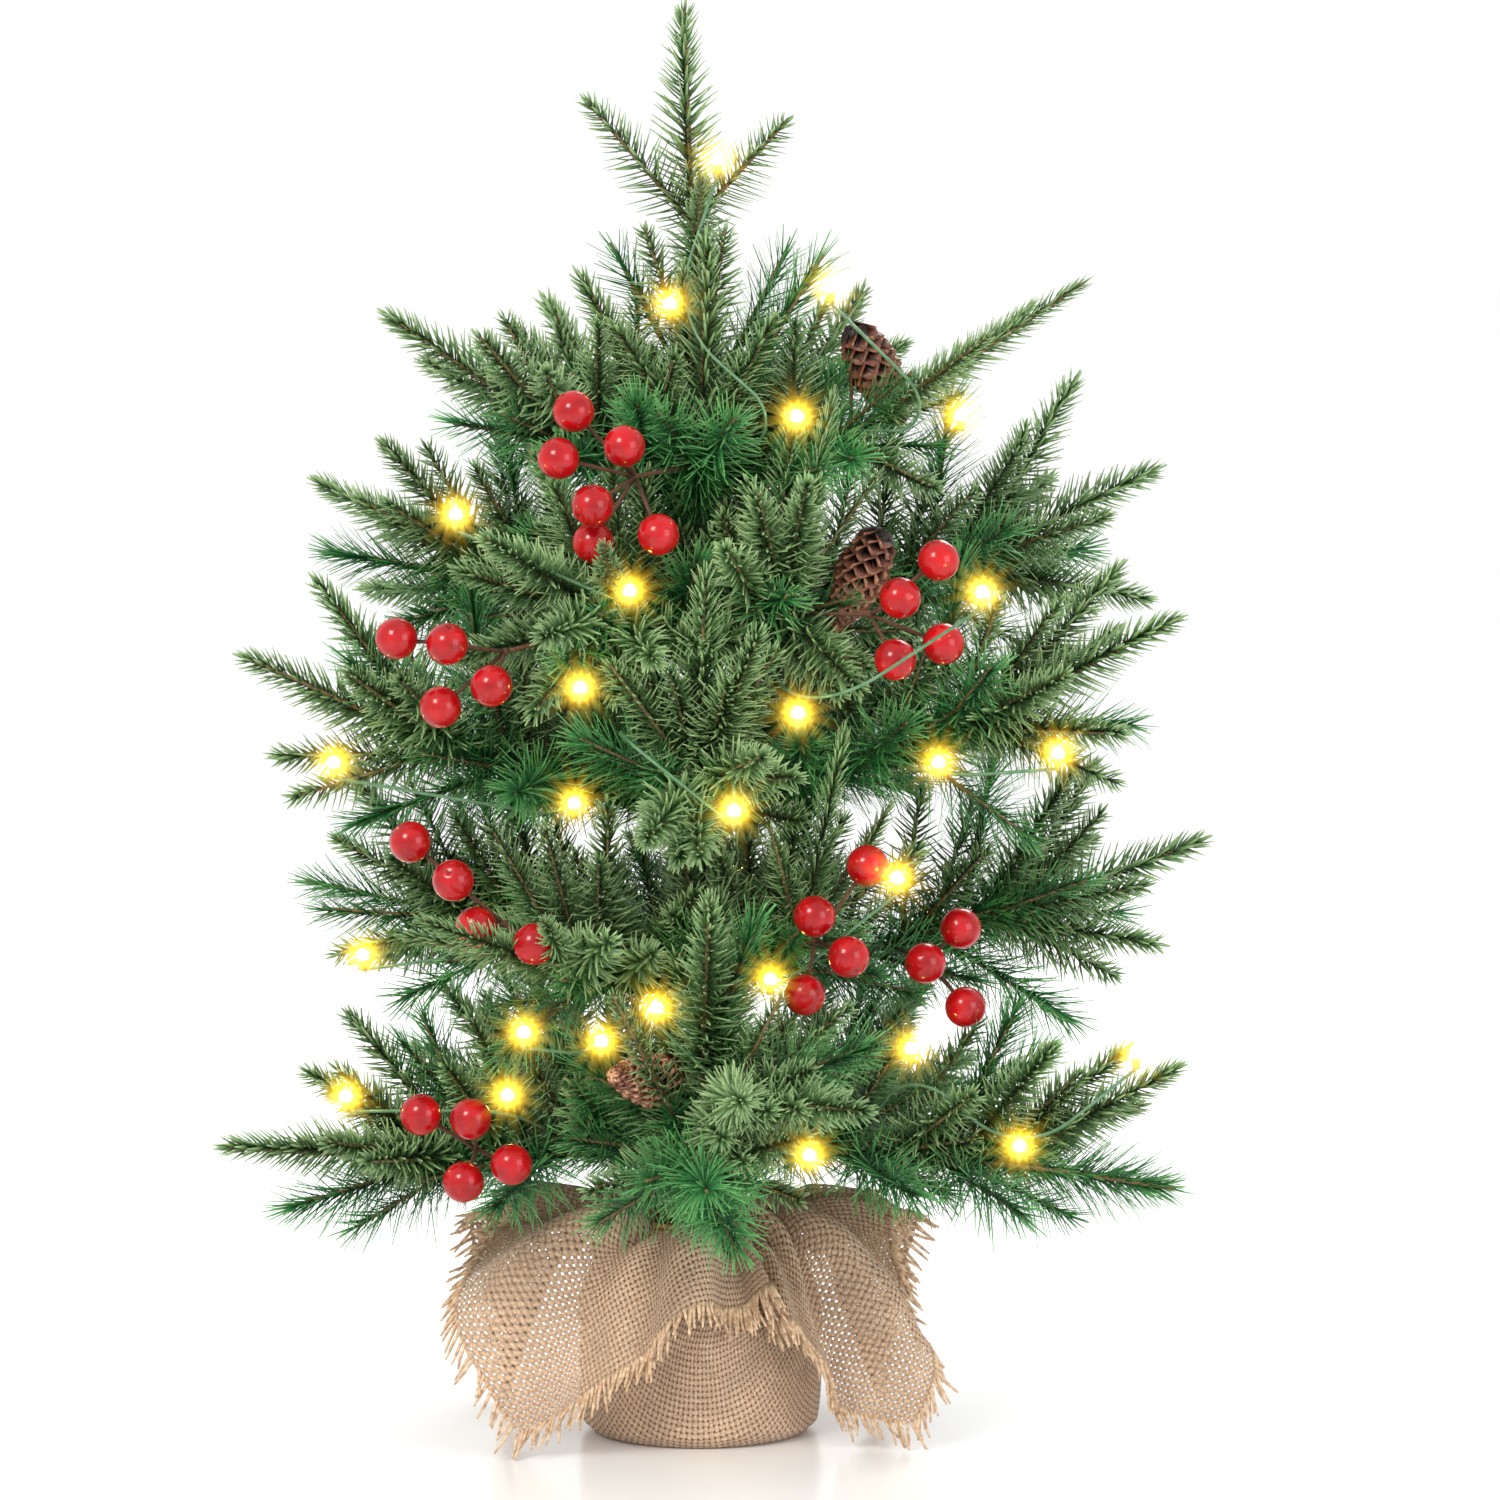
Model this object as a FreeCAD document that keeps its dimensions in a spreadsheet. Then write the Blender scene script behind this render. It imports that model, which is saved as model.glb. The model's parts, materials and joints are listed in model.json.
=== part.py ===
"""Artificial tabletop tree: weighted base in a gathered cloth, wire trunk, hinged needle branches,
berry picks, pine cones and a battery-fed string of small lamps.

Millimetres. The origin is the centre of the base's underside, +Z is up and the front faces -Y."""

import FreeCAD
import Part

import math
import os

import Sketcher

Vector = FreeCAD.Vector
Rotation = FreeCAD.Rotation
Placement = FreeCAD.Placement

doc = FreeCAD.newDocument("TabletopTree")


# ---------------------------------------------------------------- driving dimensions

SIZES = {
    # base, cloth and trunk
    "base_radius": 49.4,
    "base_tall": 60,
    "base_edge": 9,
    "cloth_thickness": 1.6,
    "neck_radius": 22,
    "neck_height": 88,
    "lip_radius": 50,
    "lip_height": 106,
    "hem_radius": 60,
    "hem_height": 86,
    "flap_width": 96,
    "flap_point": 10,
    "flap_tuck": 6,
    "flap_thickness": 2.4,
    "twine_radius": 1.4,
    "twine_turns": 3,
    "pole_radius": 3,
    "pole_sink": 12,
    "pole_above_crown": 70,
    # branch roots
    "wrap_radius": 13,
    "wrap_tall": 9,
    "pivot_reach": 10,
    "knuckle_radius": 1.7,
    "knuckle_width": 3.4,
    "knuckle_gap": 0.4,
    "low_height": 122,
    "waist_height": 190,
    "middle_height": 262,
    "upper_height": 335,
    "crown_height": 400,
    # needled tips
    "twig_radius": 1.3,
    "moulded_root": 3.8,
    "moulded_end": 1.8,
    "film_root": 4.2,
    "film_end": 2.6,
    "sleeve_long": 46,
    "fork_lean": 3,
    # ornaments
    "berry_radius": 8.6,
    "stalk_radius": 0.7,
    "cone_radius": 17,
    "cone_long": 50,
    "lamp_radius": 2.6,
    "socket_radius": 1.9,
    "socket_long": 6,
    "wire_diameter": 1.4,
    "lead_diameter": 2.2,
    # battery box
    "case_width": 68,
    "case_depth": 22,
    "case_tall": 58,
    "case_wall": 1.8,
    "case_gap": 12,
    "cover_thickness": 1.4,
    "track_depth": 0.9,
    "slide_gap": 0.25,
    "ridge_width": 1.5,
    "ridge_stand": 1.6,
    "ridge_tall": 18,
    "ridge_pitch": 4,
    "cell_radius": 7.1,
    "cell_long": 48.5,
    "cell_pitch": 14.6,
    "nub_radius": 2.7,
    "nub_long": 1.3,
    "contact_thickness": 0.4,
    "contact_width": 10,
    "spring_radius": 3.4,
    "spring_wire": 0.7,
    "spring_long": 2.6,
    "spring_pitch": 1.0833,
    "spring_rise": 1.872,
    "board_thickness": 1.2,
    "board_deep": 14,
    "board_tall": 44,
    "board_clear": 4,
    "chip_thickness": 1.5,
    "chip_deep": 6,
    "chip_tall": 8,
    "chip_foot": 20,
    "switch_long": 9,
    "switch_deep": 6,
    "switch_tall": 5,
    "switch_clear": 4,
    "knob_width": 4,
    "knob_travel": 4,
    "knob_stand": 2,
    "knob_sink": 3,
    "knob_inset": 17,
}

# Each tip: share of the branch wire where it starts, yaw, pitch, bare wire, needled length, needles.
SPRAYS = {
    "fan": (
        (1.0, 0, 6, 0, 95, "moulded"),
        (0.92, 30, 12, 0, 80, "moulded"),
        (0.86, -30, 3, 0, 80, "moulded"),
        (0.62, 20, -6, 0, 60, "film"),
        (0.56, -20, 8, 0, 60, "film"),
        (0.36, 0, 30, 0, 55, "film"),
    ),
    "brush": (
        (1.0, 0, -6, 0, 80, "film"),
        (0.88, 27, 16, 0, 82, "moulded"),
        (0.82, -28, 2, 0, 72, "film"),
        (0.58, 20, -4, 0, 60, "film"),
        (0.52, -20, 12, 0, 62, "moulded"),
        (0.34, 0, 32, 0, 55, "film"),
    ),
    "plume": (
        (1.0, 3, 50, 0, 98, "moulded"),
        (1.0, 38, 40, 0, 72, "moulded"),
        (1.0, -38, 32, 0, 72, "moulded"),
        (0.70, 20, -6, 0, 50, "film"),
        (0.64, -20, -2, 0, 50, "film"),
    ),
    "riser": (
        (1.0, 4, -2, 0, 62, "film"),
        (0.62, 4, 58, 48, 92, "moulded"),
        (0.62, 26, 44, 44, 68, "moulded"),
        (0.62, -26, 44, 44, 68, "moulded"),
        (0.78, 24, -2, 0, 54, "film"),
        (0.70, -24, -2, 0, 54, "film"),
    ),
}

# Each branch: side of the tree, azimuth from +X, rise above level, length of its wire, its tips.
BRANCHES = {
    "low": (
        ("front", 270, 3, 88, "riser"),
        ("right", 342, 0, 124, "brush"),
        ("back_right", 54, 2, 108, "fan"),
        ("back_left", 126, 2, 108, "brush"),
        ("left", 198, 0, 108, "fan"),
    ),
    "waist": (
        ("front_right", 307, 24, 66, "plume"),
        ("right", 18, 12, 138, "fan"),
        ("back", 90, 12, 92, "brush"),
        ("left", 162, 16, 100, "brush"),
        ("front_left", 233, 12, 90, "fan"),
    ),
    "middle": (
        ("front", 270, 22, 62, "plume"),
        ("right", 342, 22, 128, "fan"),
        ("back_right", 54, 22, 96, "fan"),
        ("back_left", 126, 22, 92, "fan"),
        ("left", 198, 19, 112, "fan"),
    ),
    "upper": (
        ("front_right", 306, 22, 56, "plume"),
        ("right", 18, 18, 122, "fan"),
        ("back", 90, 26, 68, "fan"),
        ("left", 162, 20, 88, "fan"),
        ("front_left", 234, 18, 56, "fan"),
    ),
    "crown": (
        ("front", 270, 40, 26, "plume"),
        ("right", 342, 27, 92, "fan"),
        ("back_right", 54, 34, 50, "fan"),
        ("back_left", 126, 34, 44, "fan"),
        ("left", 198, 28, 58, "fan"),
    ),
}

for tier, rows in BRANCHES.items():
    for side, azimuth, rise, wire, spray in rows:
        SIZES[f"{tier}_{side}_azimuth"] = azimuth
        SIZES[f"{tier}_{side}_rise"] = rise
        SIZES[f"{tier}_{side}_wire"] = wire

sheet = doc.addObject("Spreadsheet::Sheet", "Sizes")
for row, (alias, number) in enumerate(SIZES.items(), start=1):
    sheet.set(f"A{row}", alias)
    sheet.set(f"B{row}", str(number))
    sheet.setAlias(f"B{row}", alias)
doc.recompute()


def size(alias):
    """A driving dimension, read from the sheet."""
    return float(getattr(sheet, alias))


def cell(alias):
    """The expression that names a driving dimension."""
    return f"Sizes.{alias}"


# ---------------------------------------------------------------- helpers

nodes = []


def keep(shape_object, label):
    """Names a finished sub-part after its node."""
    shape_object.Label = label
    nodes.append(shape_object)
    return shape_object


def bind(thing, **sizes):
    """Binds properties of an object to expressions; dots in a property's name are written as __."""
    for name, expression in sizes.items():
        thing.setExpression(name.replace("__", "."), expression)
    return thing


def block(name, corner, lengths):
    """A box from its low corner and its three lengths, each an expression."""
    box = doc.addObject("Part::Box", name)
    bind(box, Length=lengths[0], Width=lengths[1], Height=lengths[2])
    return bind(box, Placement__Base__x=corner[0], Placement__Base__y=corner[1], Placement__Base__z=corner[2])


def rod(name, radius, length, start, direction):
    """A round rod from a start point along a direction; radius and length are expressions."""
    stick = doc.addObject("Part::Cylinder", name)
    bind(stick, Radius=radius, Height=length)
    stick.Placement = Placement(start, Rotation(Vector(0, 0, 1), direction))
    return stick


def taper(name, root, end, length, start, direction):
    """A tapered rod from a start point along a direction; root, end and length are expressions."""
    cone = doc.addObject("Part::Cone", name)
    bind(cone, Radius1=root, Radius2=end, Height=length)
    cone.Placement = Placement(start, Rotation(Vector(0, 0, 1), direction))
    return cone


def join(name, pieces):
    """One object from several that touch or cross."""
    fused = doc.addObject("Part::MultiFuse", name)
    fused.Shapes = pieces
    return fused


def group(name, pieces):
    """One object that holds separate solids."""
    together = doc.addObject("Part::Compound", name)
    together.Links = pieces
    return together


def cut(name, base, tool):
    """A boolean cut."""
    result = doc.addObject("Part::Cut", name)
    result.Base = base
    result.Tool = tool
    return result


def new_body(name):
    return doc.addObject("PartDesign::Body", name)


def sketch_on(body, role, name):
    """A sketch on one of the body's own origin planes."""
    sketch = body.newObject("Sketcher::SketchObject", name)
    plane = next(feature for feature in body.Origin.OriginFeatures if feature.Role == role)
    sketch.AttachmentSupport = (plane, "")
    sketch.MapMode = "FlatFace"
    return sketch


def outline(sketch, points):
    """A closed outline of straight sides; each point is (x, y), both expressions for distances
    from the sketch's origin."""
    guesses = [tuple(float(doc_value(text)) for text in point) for point in points]
    count = len(points)
    for index in range(count):
        first, second = guesses[index], guesses[(index + 1) % count]
        sketch.addGeometry(Part.LineSegment(Vector(*first, 0), Vector(*second, 0)))
    for index in range(count):
        sketch.addConstraint(Sketcher.Constraint("Coincident", index, 2, (index + 1) % count, 1))
    for index, (point, guess) in enumerate(zip(points, guesses)):
        for kind, text, value in zip(("DistanceX", "DistanceY"), point, guess):
            sketch.addConstraint(Sketcher.Constraint(kind, -1, 1, index, 1, value))
            if value != 0:
                sketch.setExpression(f"Constraints[{sketch.ConstraintCount - 1}]", text)
    return sketch


def doc_value(text):
    """The present value of an expression, for a sketch's first guess."""
    return sheet.evalExpression(text)


def tube_path(points, label):
    """Straight runs joined by tangent arcs, each arc as large as its two runs allow."""
    edges, start, radii = [], points[0], []
    for before, corner, after in zip(points, points[1:], points[2:]):
        back, on = before - corner, after - corner
        half_turn = (math.pi - back.getAngle(on)) / 2
        reach = 0.45 * min(back.Length, on.Length)
        radii.append(reach / math.tan(half_turn))
        back.normalize()
        on.normalize()
        first, last = corner + back * reach, corner + on * reach
        middle = back + on
        middle.normalize()
        centre = corner + middle * (radii[-1] / math.cos(half_turn))
        crest = centre - middle * radii[-1]
        edges.append(Part.LineSegment(start, first).toShape())
        edges.append(Part.Arc(first, crest, last).toShape())
        start = last
    edges.append(Part.LineSegment(start, points[-1]).toShape())
    if radii:
        print(label, "bend radii", [round(radius, 1) for radius in radii])
    return Part.Wire(edges)


def tube(points, diameter, label):
    """A round wire along a route."""
    path = tube_path(points, label)
    circle = Part.Circle(points[0], points[1] - points[0], diameter / 2)
    section = Part.Wire([circle.toShape()])
    solid = path.makePipeShell([section], True, False)
    expected = math.pi * (diameter / 2) ** 2 * path.Length
    if abs(solid.Volume - expected) > 0.02 * expected:
        raise ValueError(f"{label}: tube volume {solid.Volume:.1f}, expected {expected:.1f}")
    return solid


def direction_of(yaw, pitch):
    """A unit vector in a branch's own frame: x outwards along the wire, z up."""
    yaw, pitch = math.radians(yaw), math.radians(pitch)
    return Vector(math.cos(pitch) * math.cos(yaw), math.cos(pitch) * math.sin(yaw), math.sin(pitch))


def branch_placement(tier, side):
    """Where a branch's frame stands: its origin on the pivot, its x axis along the wire."""
    azimuth, rise = size(f"{tier}_{side}_azimuth"), size(f"{tier}_{side}_rise")
    turn = Rotation(Vector(0, 0, 1), azimuth) * Rotation(Vector(0, 1, 0), -rise)
    outwards = Rotation(Vector(0, 0, 1), azimuth).multVec(Vector(size("pivot_reach"), 0, 0))
    return Placement(outwards + Vector(0, 0, size(f"{tier}_height")), turn)


# ---------------------------------------------------------------- base weight and trunk

# The weight is a cast block with rounded edges and a blind hole that holds the pole.
weight = new_body("BaseWeight")
weight_outline = sketch_on(weight, "XZ_Plane", "WeightOutline")
outline(
    weight_outline,
    (
        ("0", cell("cloth_thickness")),
        (cell("base_radius"), cell("cloth_thickness")),
        (cell("base_radius"), f"{cell('cloth_thickness')} + {cell('base_tall')}"),
        (cell("pole_radius"), f"{cell('cloth_thickness')} + {cell('base_tall')}"),
        (cell("pole_radius"), cell("pole_sink")),
        ("0", cell("pole_sink")),
    ),
)
weight_turn = weight.newObject("PartDesign::Revolution", "WeightTurn")
weight_turn.Profile = weight_outline
weight_turn.ReferenceAxis = (weight_outline, ["V_Axis"])
weight_turn.Angle = 360
doc.recompute()
rims = [
    f"Edge{index}"
    for index, edge in enumerate(weight_turn.Shape.Edges, start=1)
    if isinstance(edge.Curve, Part.Circle) and edge.Curve.Radius > size("base_radius") - 1
]
weight_round = weight.newObject("PartDesign::Fillet", "WeightRound")
weight_round.Base = (weight_turn, rims)
bind(weight_round, Radius=cell("base_edge"))
keep(weight, "base_weight")

pole = new_body("TrunkPole")
pole_section = sketch_on(pole, "XY_Plane", "PoleSection")
pole_section.addGeometry(Part.Circle(Vector(0, 0, 0), Vector(0, 0, 1), size("pole_radius")))
pole_section.addConstraint(Sketcher.Constraint("Coincident", 0, 3, -1, 1))
pole_section.addConstraint(Sketcher.Constraint("Radius", 0, size("pole_radius")))
pole_section.setExpression("Constraints[1]", cell("pole_radius"))
pole_pad = pole.newObject("PartDesign::Pad", "PolePad")
pole_pad.Profile = pole_section
pole_top = f"({cell('crown_height')} + {cell('pole_above_crown')})"
bind(pole_pad, Length=f"{pole_top} - {cell('pole_sink')}")
bind(pole, Placement__Base__z=cell("pole_sink"))
keep(pole, "trunk_pole")

# A wrap binds the branch roots of each tier to the pole. Each root swings in a slot of its own.
wraps = []
for tier, rows in BRANCHES.items():
    disc = rod(f"Wrap_{tier}", cell("wrap_radius"), cell("wrap_tall"), Vector(0, 0, 0), Vector(0, 0, 1))
    bind(disc, Placement__Base__z=f"{cell(tier + '_height')} - {cell('wrap_tall')} / 2")
    bore = rod(f"WrapBore_{tier}", cell("pole_radius"), pole_top, Vector(0, 0, 0), Vector(0, 0, 1))
    slots = [bore]
    for side, *_ in rows:
        slot = block(
            f"Slot_{tier}_{side}",
            (
                f"{cell('pivot_reach')} - {cell('knuckle_radius')} - {cell('knuckle_gap')}",
                f"-{cell('knuckle_width')} / 2 - {cell('knuckle_gap')}",
                "0",
            ),
            (
                cell("wrap_radius"),
                f"{cell('knuckle_width')} + 2 * {cell('knuckle_gap')}",
                cell("wrap_tall"),
            ),
        )
        turned = doc.addObject("Part::Compound", f"TurnedSlot_{tier}_{side}")
        turned.Links = [slot]
        turned.Placement.Rotation = Rotation(Vector(0, 0, 1), size(f"{tier}_{side}_azimuth"))
        bind(turned, Placement__Base__z=f"{cell(tier + '_height')} - {cell('wrap_tall')} / 2")
        slots.append(turned)
    wraps.append(cut(f"SlottedWrap_{tier}", disc, join(f"Slots_{tier}", slots)))
keep(group("RootWraps", wraps), "root_wraps")


# ---------------------------------------------------------------- branches

def branch(tier, side, spray):
    """A branch in its own frame: bent root on the pivot, wire along x, and one solid for each tip."""
    name = f"{tier}_{side}"
    wire = size(f"{name}_wire")
    root_turn = Vector(0, 1, 0)
    root_start = Vector(0, -size("knuckle_width") / 2, 0)
    knuckle = rod(f"Root_{name}", cell("knuckle_radius"), cell("knuckle_width"), root_start, root_turn)
    stem = rod(f"Wire_{name}", cell("twig_radius"), cell(f"{name}_wire"), Vector(0, 0, 0), Vector(1, 0, 0))
    pieces = [join(f"Stem_{name}", [knuckle, stem])]
    for number, (share, yaw, pitch, bare, needled, needles) in enumerate(SPRAYS[spray], start=1):
        start, along = Vector(wire * share, 0, 0), direction_of(yaw, pitch)
        if bare:
            pieces.append(rod(f"Twig_{name}_{number}", cell("twig_radius"), f"{bare}", start, along))
        tip = taper(
            f"Tip_{name}_{number}",
            cell(f"{needles}_root"),
            cell(f"{needles}_end"),
            f"{needled}",
            start + along * bare,
            along,
        )
        pieces.append(tip)
    whole = group(f"Branch_{name}", pieces)
    whole.Placement = branch_placement(tier, side)
    return whole


crown = []
for tier, rows in BRANCHES.items():
    for side, _, _, _, spray in rows:
        made = branch(tier, side, spray)
        if tier == "crown":
            crown.append(made)
        else:
            keep(made, f"{tier}_{side}_branch")

# Short twigs stand round the pole above the crown: height over it, azimuth, rise, length, needles.
POLE_TWIGS = (
    (20, 200, 58, 92, "moulded"),
    (24, 330, 56, 100, "film"),
    (32, 262, 62, 78, "moulded"),
    (36, 96, 52, 84, "moulded"),
    (44, 28, 60, 76, "film"),
    (48, 150, 58, 74, "film"),
    (56, 290, 66, 66, "moulded"),
    (60, 222, 66, 62, "moulded"),
)
for number, (height, azimuth, rise, needled, needles) in enumerate(POLE_TWIGS, start=1):
    beside_pole = direction_of(azimuth, 0) * (size("pole_radius") + size("moulded_root"))
    root = Vector(0, 0, size("crown_height") + height) + beside_pole
    twig = taper(
        f"PoleTwig_{number}",
        cell(f"{needles}_root"),
        cell(f"{needles}_end"),
        f"{needled}",
        root,
        direction_of(azimuth, rise),
    )
    crown.append(twig)
keep(group("CrownTwigs", crown), "crown_twigs")

# The leader stands on the pole's end. Its tips: share of its stem, azimuth, rise, length.
LEADER_TIPS = ((1, 180, 88, 94), (1, 184, 49, 72), (1, 2, 47, 62), (0.5, 276, 58, 52), (0.5, 88, 56, 54))
pole_end = Vector(0, 0, size("crown_height") + size("pole_above_crown"))
leader_stem = Vector(-size("fork_lean"), 0, size("sleeve_long"))
leader_pieces = [rod("LeaderStem", cell("twig_radius"), f"{leader_stem.Length}", pole_end, leader_stem)]
for number, (share, azimuth, rise, needled) in enumerate(LEADER_TIPS, start=1):
    leader_pieces.append(
        taper(
            f"LeaderTip_{number}",
            cell("moulded_root"),
            cell("moulded_end"),
            f"{needled}",
            pole_end + leader_stem * share,
            direction_of(azimuth, rise),
        )
    )
keep(group("Leader", leader_pieces), "leader")

# ---------------------------------------------------------------- berry picks

# Berries by the branch that carries them: centres from the trunk's axis at the tier's height, and
# the share of the wire where the pick is twisted on.
PICKS = {
    ("crown", "front"): (0.9, ((-51, -78, 39), (-57, -86, 20), (-30, -84, 25), (-43, -92, 1),
                               (-43, -78, -15), (-16, -90, -11))),
    ("upper", "front_left"): (0.9, ((-123, -100, 12), (-102, -104, 10), (-84, -106, -7), (-105, -102, -16))),
    ("upper", "front_right"): (0.9, ((99, -84, 43), (83, -92, 28), (101, -88, 9), (81, -96, 3))),
    ("waist", "front_left"): (0.9, ((-118, -96, 73), (-100, -104, 58), (-91, -98, 38), (-67, -106, 32))),
    ("waist", "front_right"): (0.8, ((70, -84, 62), (48, -94, 42), (62, -100, 26), (44, -90, 9))),
    ("waist", "right"): (0.55, ((110, -42, 31), (95, -48, 17), (112, -44, -2))),
    ("low", "left"): (0.75, ((-115, -82, 26), (-94, -88, 25), (-77, -94, 7), (-97, -90, -1))),
}


def branch_point(tier, side, share):
    """A point on a branch's wire, from the trunk's axis at the tier's height."""
    place = branch_placement(tier, side)
    along_wire = Vector(size(f"{tier}_{side}_wire") * share, 0, 0)
    return place.multVec(along_wire) - Vector(0, 0, size(f"{tier}_height"))


def pick(tier, side, share, centres):
    """Berries on stalks that meet at one hub, and a stem from the hub to the branch."""
    centres = [Vector(*centre) for centre in centres]
    foot = branch_point(tier, side, share)
    middle = sum(centres, Vector(0, 0, 0)) * (1 / len(centres))
    hub = middle + (foot - middle) * 0.35
    solids = [Part.makeSphere(2 * size("stalk_radius"), hub)]
    for end, inset in ((foot, 0), *((centre, size("berry_radius")) for centre in centres)):
        along = end - hub
        solids.append(Part.makeCylinder(size("stalk_radius"), along.Length - inset, hub, along))
    solids += [Part.makeSphere(size("berry_radius"), centre) for centre in centres]
    made = doc.addObject("Part::Feature", f"Berries_{tier}_{side}")
    made.Shape = Part.makeCompound(solids)
    made.Placement = Placement(Vector(0, 0, size(f"{tier}_height")), Rotation())
    return made


for (tier, side), (share, centres) in PICKS.items():
    keep(pick(tier, side, share, centres), f"{tier}_{side}_berries")

# ---------------------------------------------------------------- pine cones

# Each cone: where its stalk end sits, from the trunk's axis at the tier's height, and where it points.
CONES = {
    ("upper", "front_right"): ((77, -42, 54), (-0.42, -0.25, -0.87), 0.7),
    ("low", "front"): ((-6, -62, 36), (-0.62, -0.76, 0.18), 0.55),
    ("crown", "right"): ((64, -19, 74), (0.45, 0.1, -0.88), 0.7),
}


def pine_cone(tier, side, stalk_end, points, share):
    """A turned cone body with rounded shoulders, and the wire that ties it to the branch."""
    name = f"{tier}_{side}"
    body = new_body(f"Cone_{name}")
    half = sketch_on(body, "XZ_Plane", f"ConeOutline_{name}")
    outline(
        half,
        (
            ("0", "0"),
            (f"{cell('cone_radius')} * 0.62", "0"),
            (cell("cone_radius"), f"{cell('cone_long')} * 0.24"),
            (f"{cell('cone_radius')} * 0.86", f"{cell('cone_long')} * 0.58"),
            (f"{cell('cone_radius')} * 0.36", cell("cone_long")),
            ("0", cell("cone_long")),
        ),
    )
    turn = body.newObject("PartDesign::Revolution", f"ConeTurn_{name}")
    turn.Profile = half
    turn.ReferenceAxis = (half, ["V_Axis"])
    turn.Angle = 360
    base = Vector(*stalk_end)
    body.Placement = Placement(base, Rotation(Vector(0, 0, 1), Vector(*points)))
    foot = branch_point(tier, side, share)
    tie = rod(f"ConeTie_{name}", cell("stalk_radius"), f"{(base - foot).Length}", foot, base - foot)
    whole = group(f"TiedCone_{name}", [body, tie])
    bind(whole, Placement__Base__z=cell(f"{tier}_height"))
    return whole


for (tier, side), (stalk_end, points, share) in CONES.items():
    keep(pine_cone(tier, side, stalk_end, points, share), f"{tier}_{side}_cone")

# ---------------------------------------------------------------- light string

# Lamps by the branch that carries them: bulb centres from the trunk's axis at the tier's height.
# The wire starts over the branch's root, lies along half its wire and goes from lamp to lamp.
LAMPS = {
    ("crown", "front"): ((41, -62, 36), (-12, -30, 82), (8, -26, 142)),
    ("crown", "right"): ((109, -52, 36), (55, -52, 89)),
    ("upper", "front_left"): ((-28, -82, 30), (-99, -92, 62)),
    ("upper", "front_right"): ((41, -112, -18), (116, -110, 31)),
    ("middle", "front"): ((-48, -96, 64), (15, -112, 15)),
    ("middle", "right"): ((100, -58, 30), (149, -72, 35)),
    ("middle", "left"): ((-52, -50, 12), (-151, -70, 31)),
    ("middle", "back_right"): ((62, 84, 34), (86, 130, 58)),
    ("waist", "front_right"): ((30, -66, 12), (82, -98, 58)),
    ("waist", "front_left"): ((-40, -80, -12), (-71, -112, -4)),
    ("waist", "left"): ((-95, 10, 20), (-145, 18, 12)),
    ("waist", "back"): ((-14, 76, 24), (16, 142, 36)),
    ("low", "front"): ((46, -104, 12), (-17, -96, 72)),
    ("low", "right"): ((89, -58, 50), (134, -66, 10), (182, -74, 50)),
    ("low", "left"): ((-80, -56, 30), (-147, -66, 31)),
}
START_OUT = 1.5
LAID_HIGH = 3


def lights(tier, side, centres):
    """Lamps in sockets, and the wire that links them along the branch."""
    name = f"{tier}_{side}"
    bulbs = [Vector(*centre) for centre in centres]
    root = branch_point(tier, side, 0)
    rise = Vector(0, 0, size("wire_diameter") + size("twig_radius"))
    route = [root * START_OUT + rise, branch_point(tier, side, 0.5) + rise * LAID_HIGH]
    drop = Vector(0, 0, size("socket_long"))
    route += [bulb - drop for bulb in bulbs]
    glasses = [Part.makeSphere(size("lamp_radius"), bulb) for bulb in bulbs]
    sockets = [Part.makeCylinder(size("socket_radius"), drop.Length, bulb - drop, drop) for bulb in bulbs]
    sockets = [socket.cut(glass) for socket, glass in zip(sockets, glasses)]
    wire = tube(route, size("wire_diameter"), name).cut(sockets)
    made = doc.addObject("Part::Feature", f"Lights_{name}")
    made.Shape = Part.makeCompound([*wire.Solids, *sockets, *glasses])
    made.Placement = Placement(Vector(0, 0, size(f"{tier}_height")), Rotation())
    return made


for (tier, side), centres in LAMPS.items():
    keep(lights(tier, side, centres), f"{tier}_{side}_lights")

# ---------------------------------------------------------------- burlap and twine

# One square of cloth, gathered: a cup under and round the weight, a neck, and a rolled-over lip.
cloth = new_body("ClothCup")
cloth_outline = sketch_on(cloth, "XZ_Plane", "ClothOutline")
skin = cell("cloth_thickness")
shoulder = f"{skin} + {cell('base_tall')}"
outline(
    cloth_outline,
    (
        ("0", "0"),
        (f"{cell('base_radius')} - {cell('base_edge')} / 2", "0"),
        (f"{cell('base_radius')} + {skin}", f"{cell('base_edge')} / 2 + {skin}"),
        (f"{cell('base_radius')} + {skin}", f"{shoulder} + {skin} / 2"),
        (f"{cell('neck_radius')} + {skin}", cell("neck_height")),
        (cell("lip_radius"), f"{cell('lip_height')} - {skin}"),
        (cell("hem_radius"), cell("hem_height")),
        (f"{cell('hem_radius')} + {skin}", cell("hem_height")),
        (f"{cell('lip_radius')} + {skin}", cell("lip_height")),
        (cell("neck_radius"), f"{cell('neck_height')} + {skin}"),
        (f"{cell('neck_radius')} - {skin}", cell("neck_height")),
        (cell("base_radius"), shoulder),
        (cell("base_radius"), f"{skin} + {cell('base_edge')} / 2"),
        (f"{cell('base_radius')} - {cell('base_edge')} / 2", skin),
        ("0", skin),
    ),
)
cloth_turn = cloth.newObject("PartDesign::Revolution", "ClothTurn")
cloth_turn.Profile = cloth_outline
cloth_turn.ReferenceAxis = (cloth_outline, ["V_Axis"])
cloth_turn.Angle = 360

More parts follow.
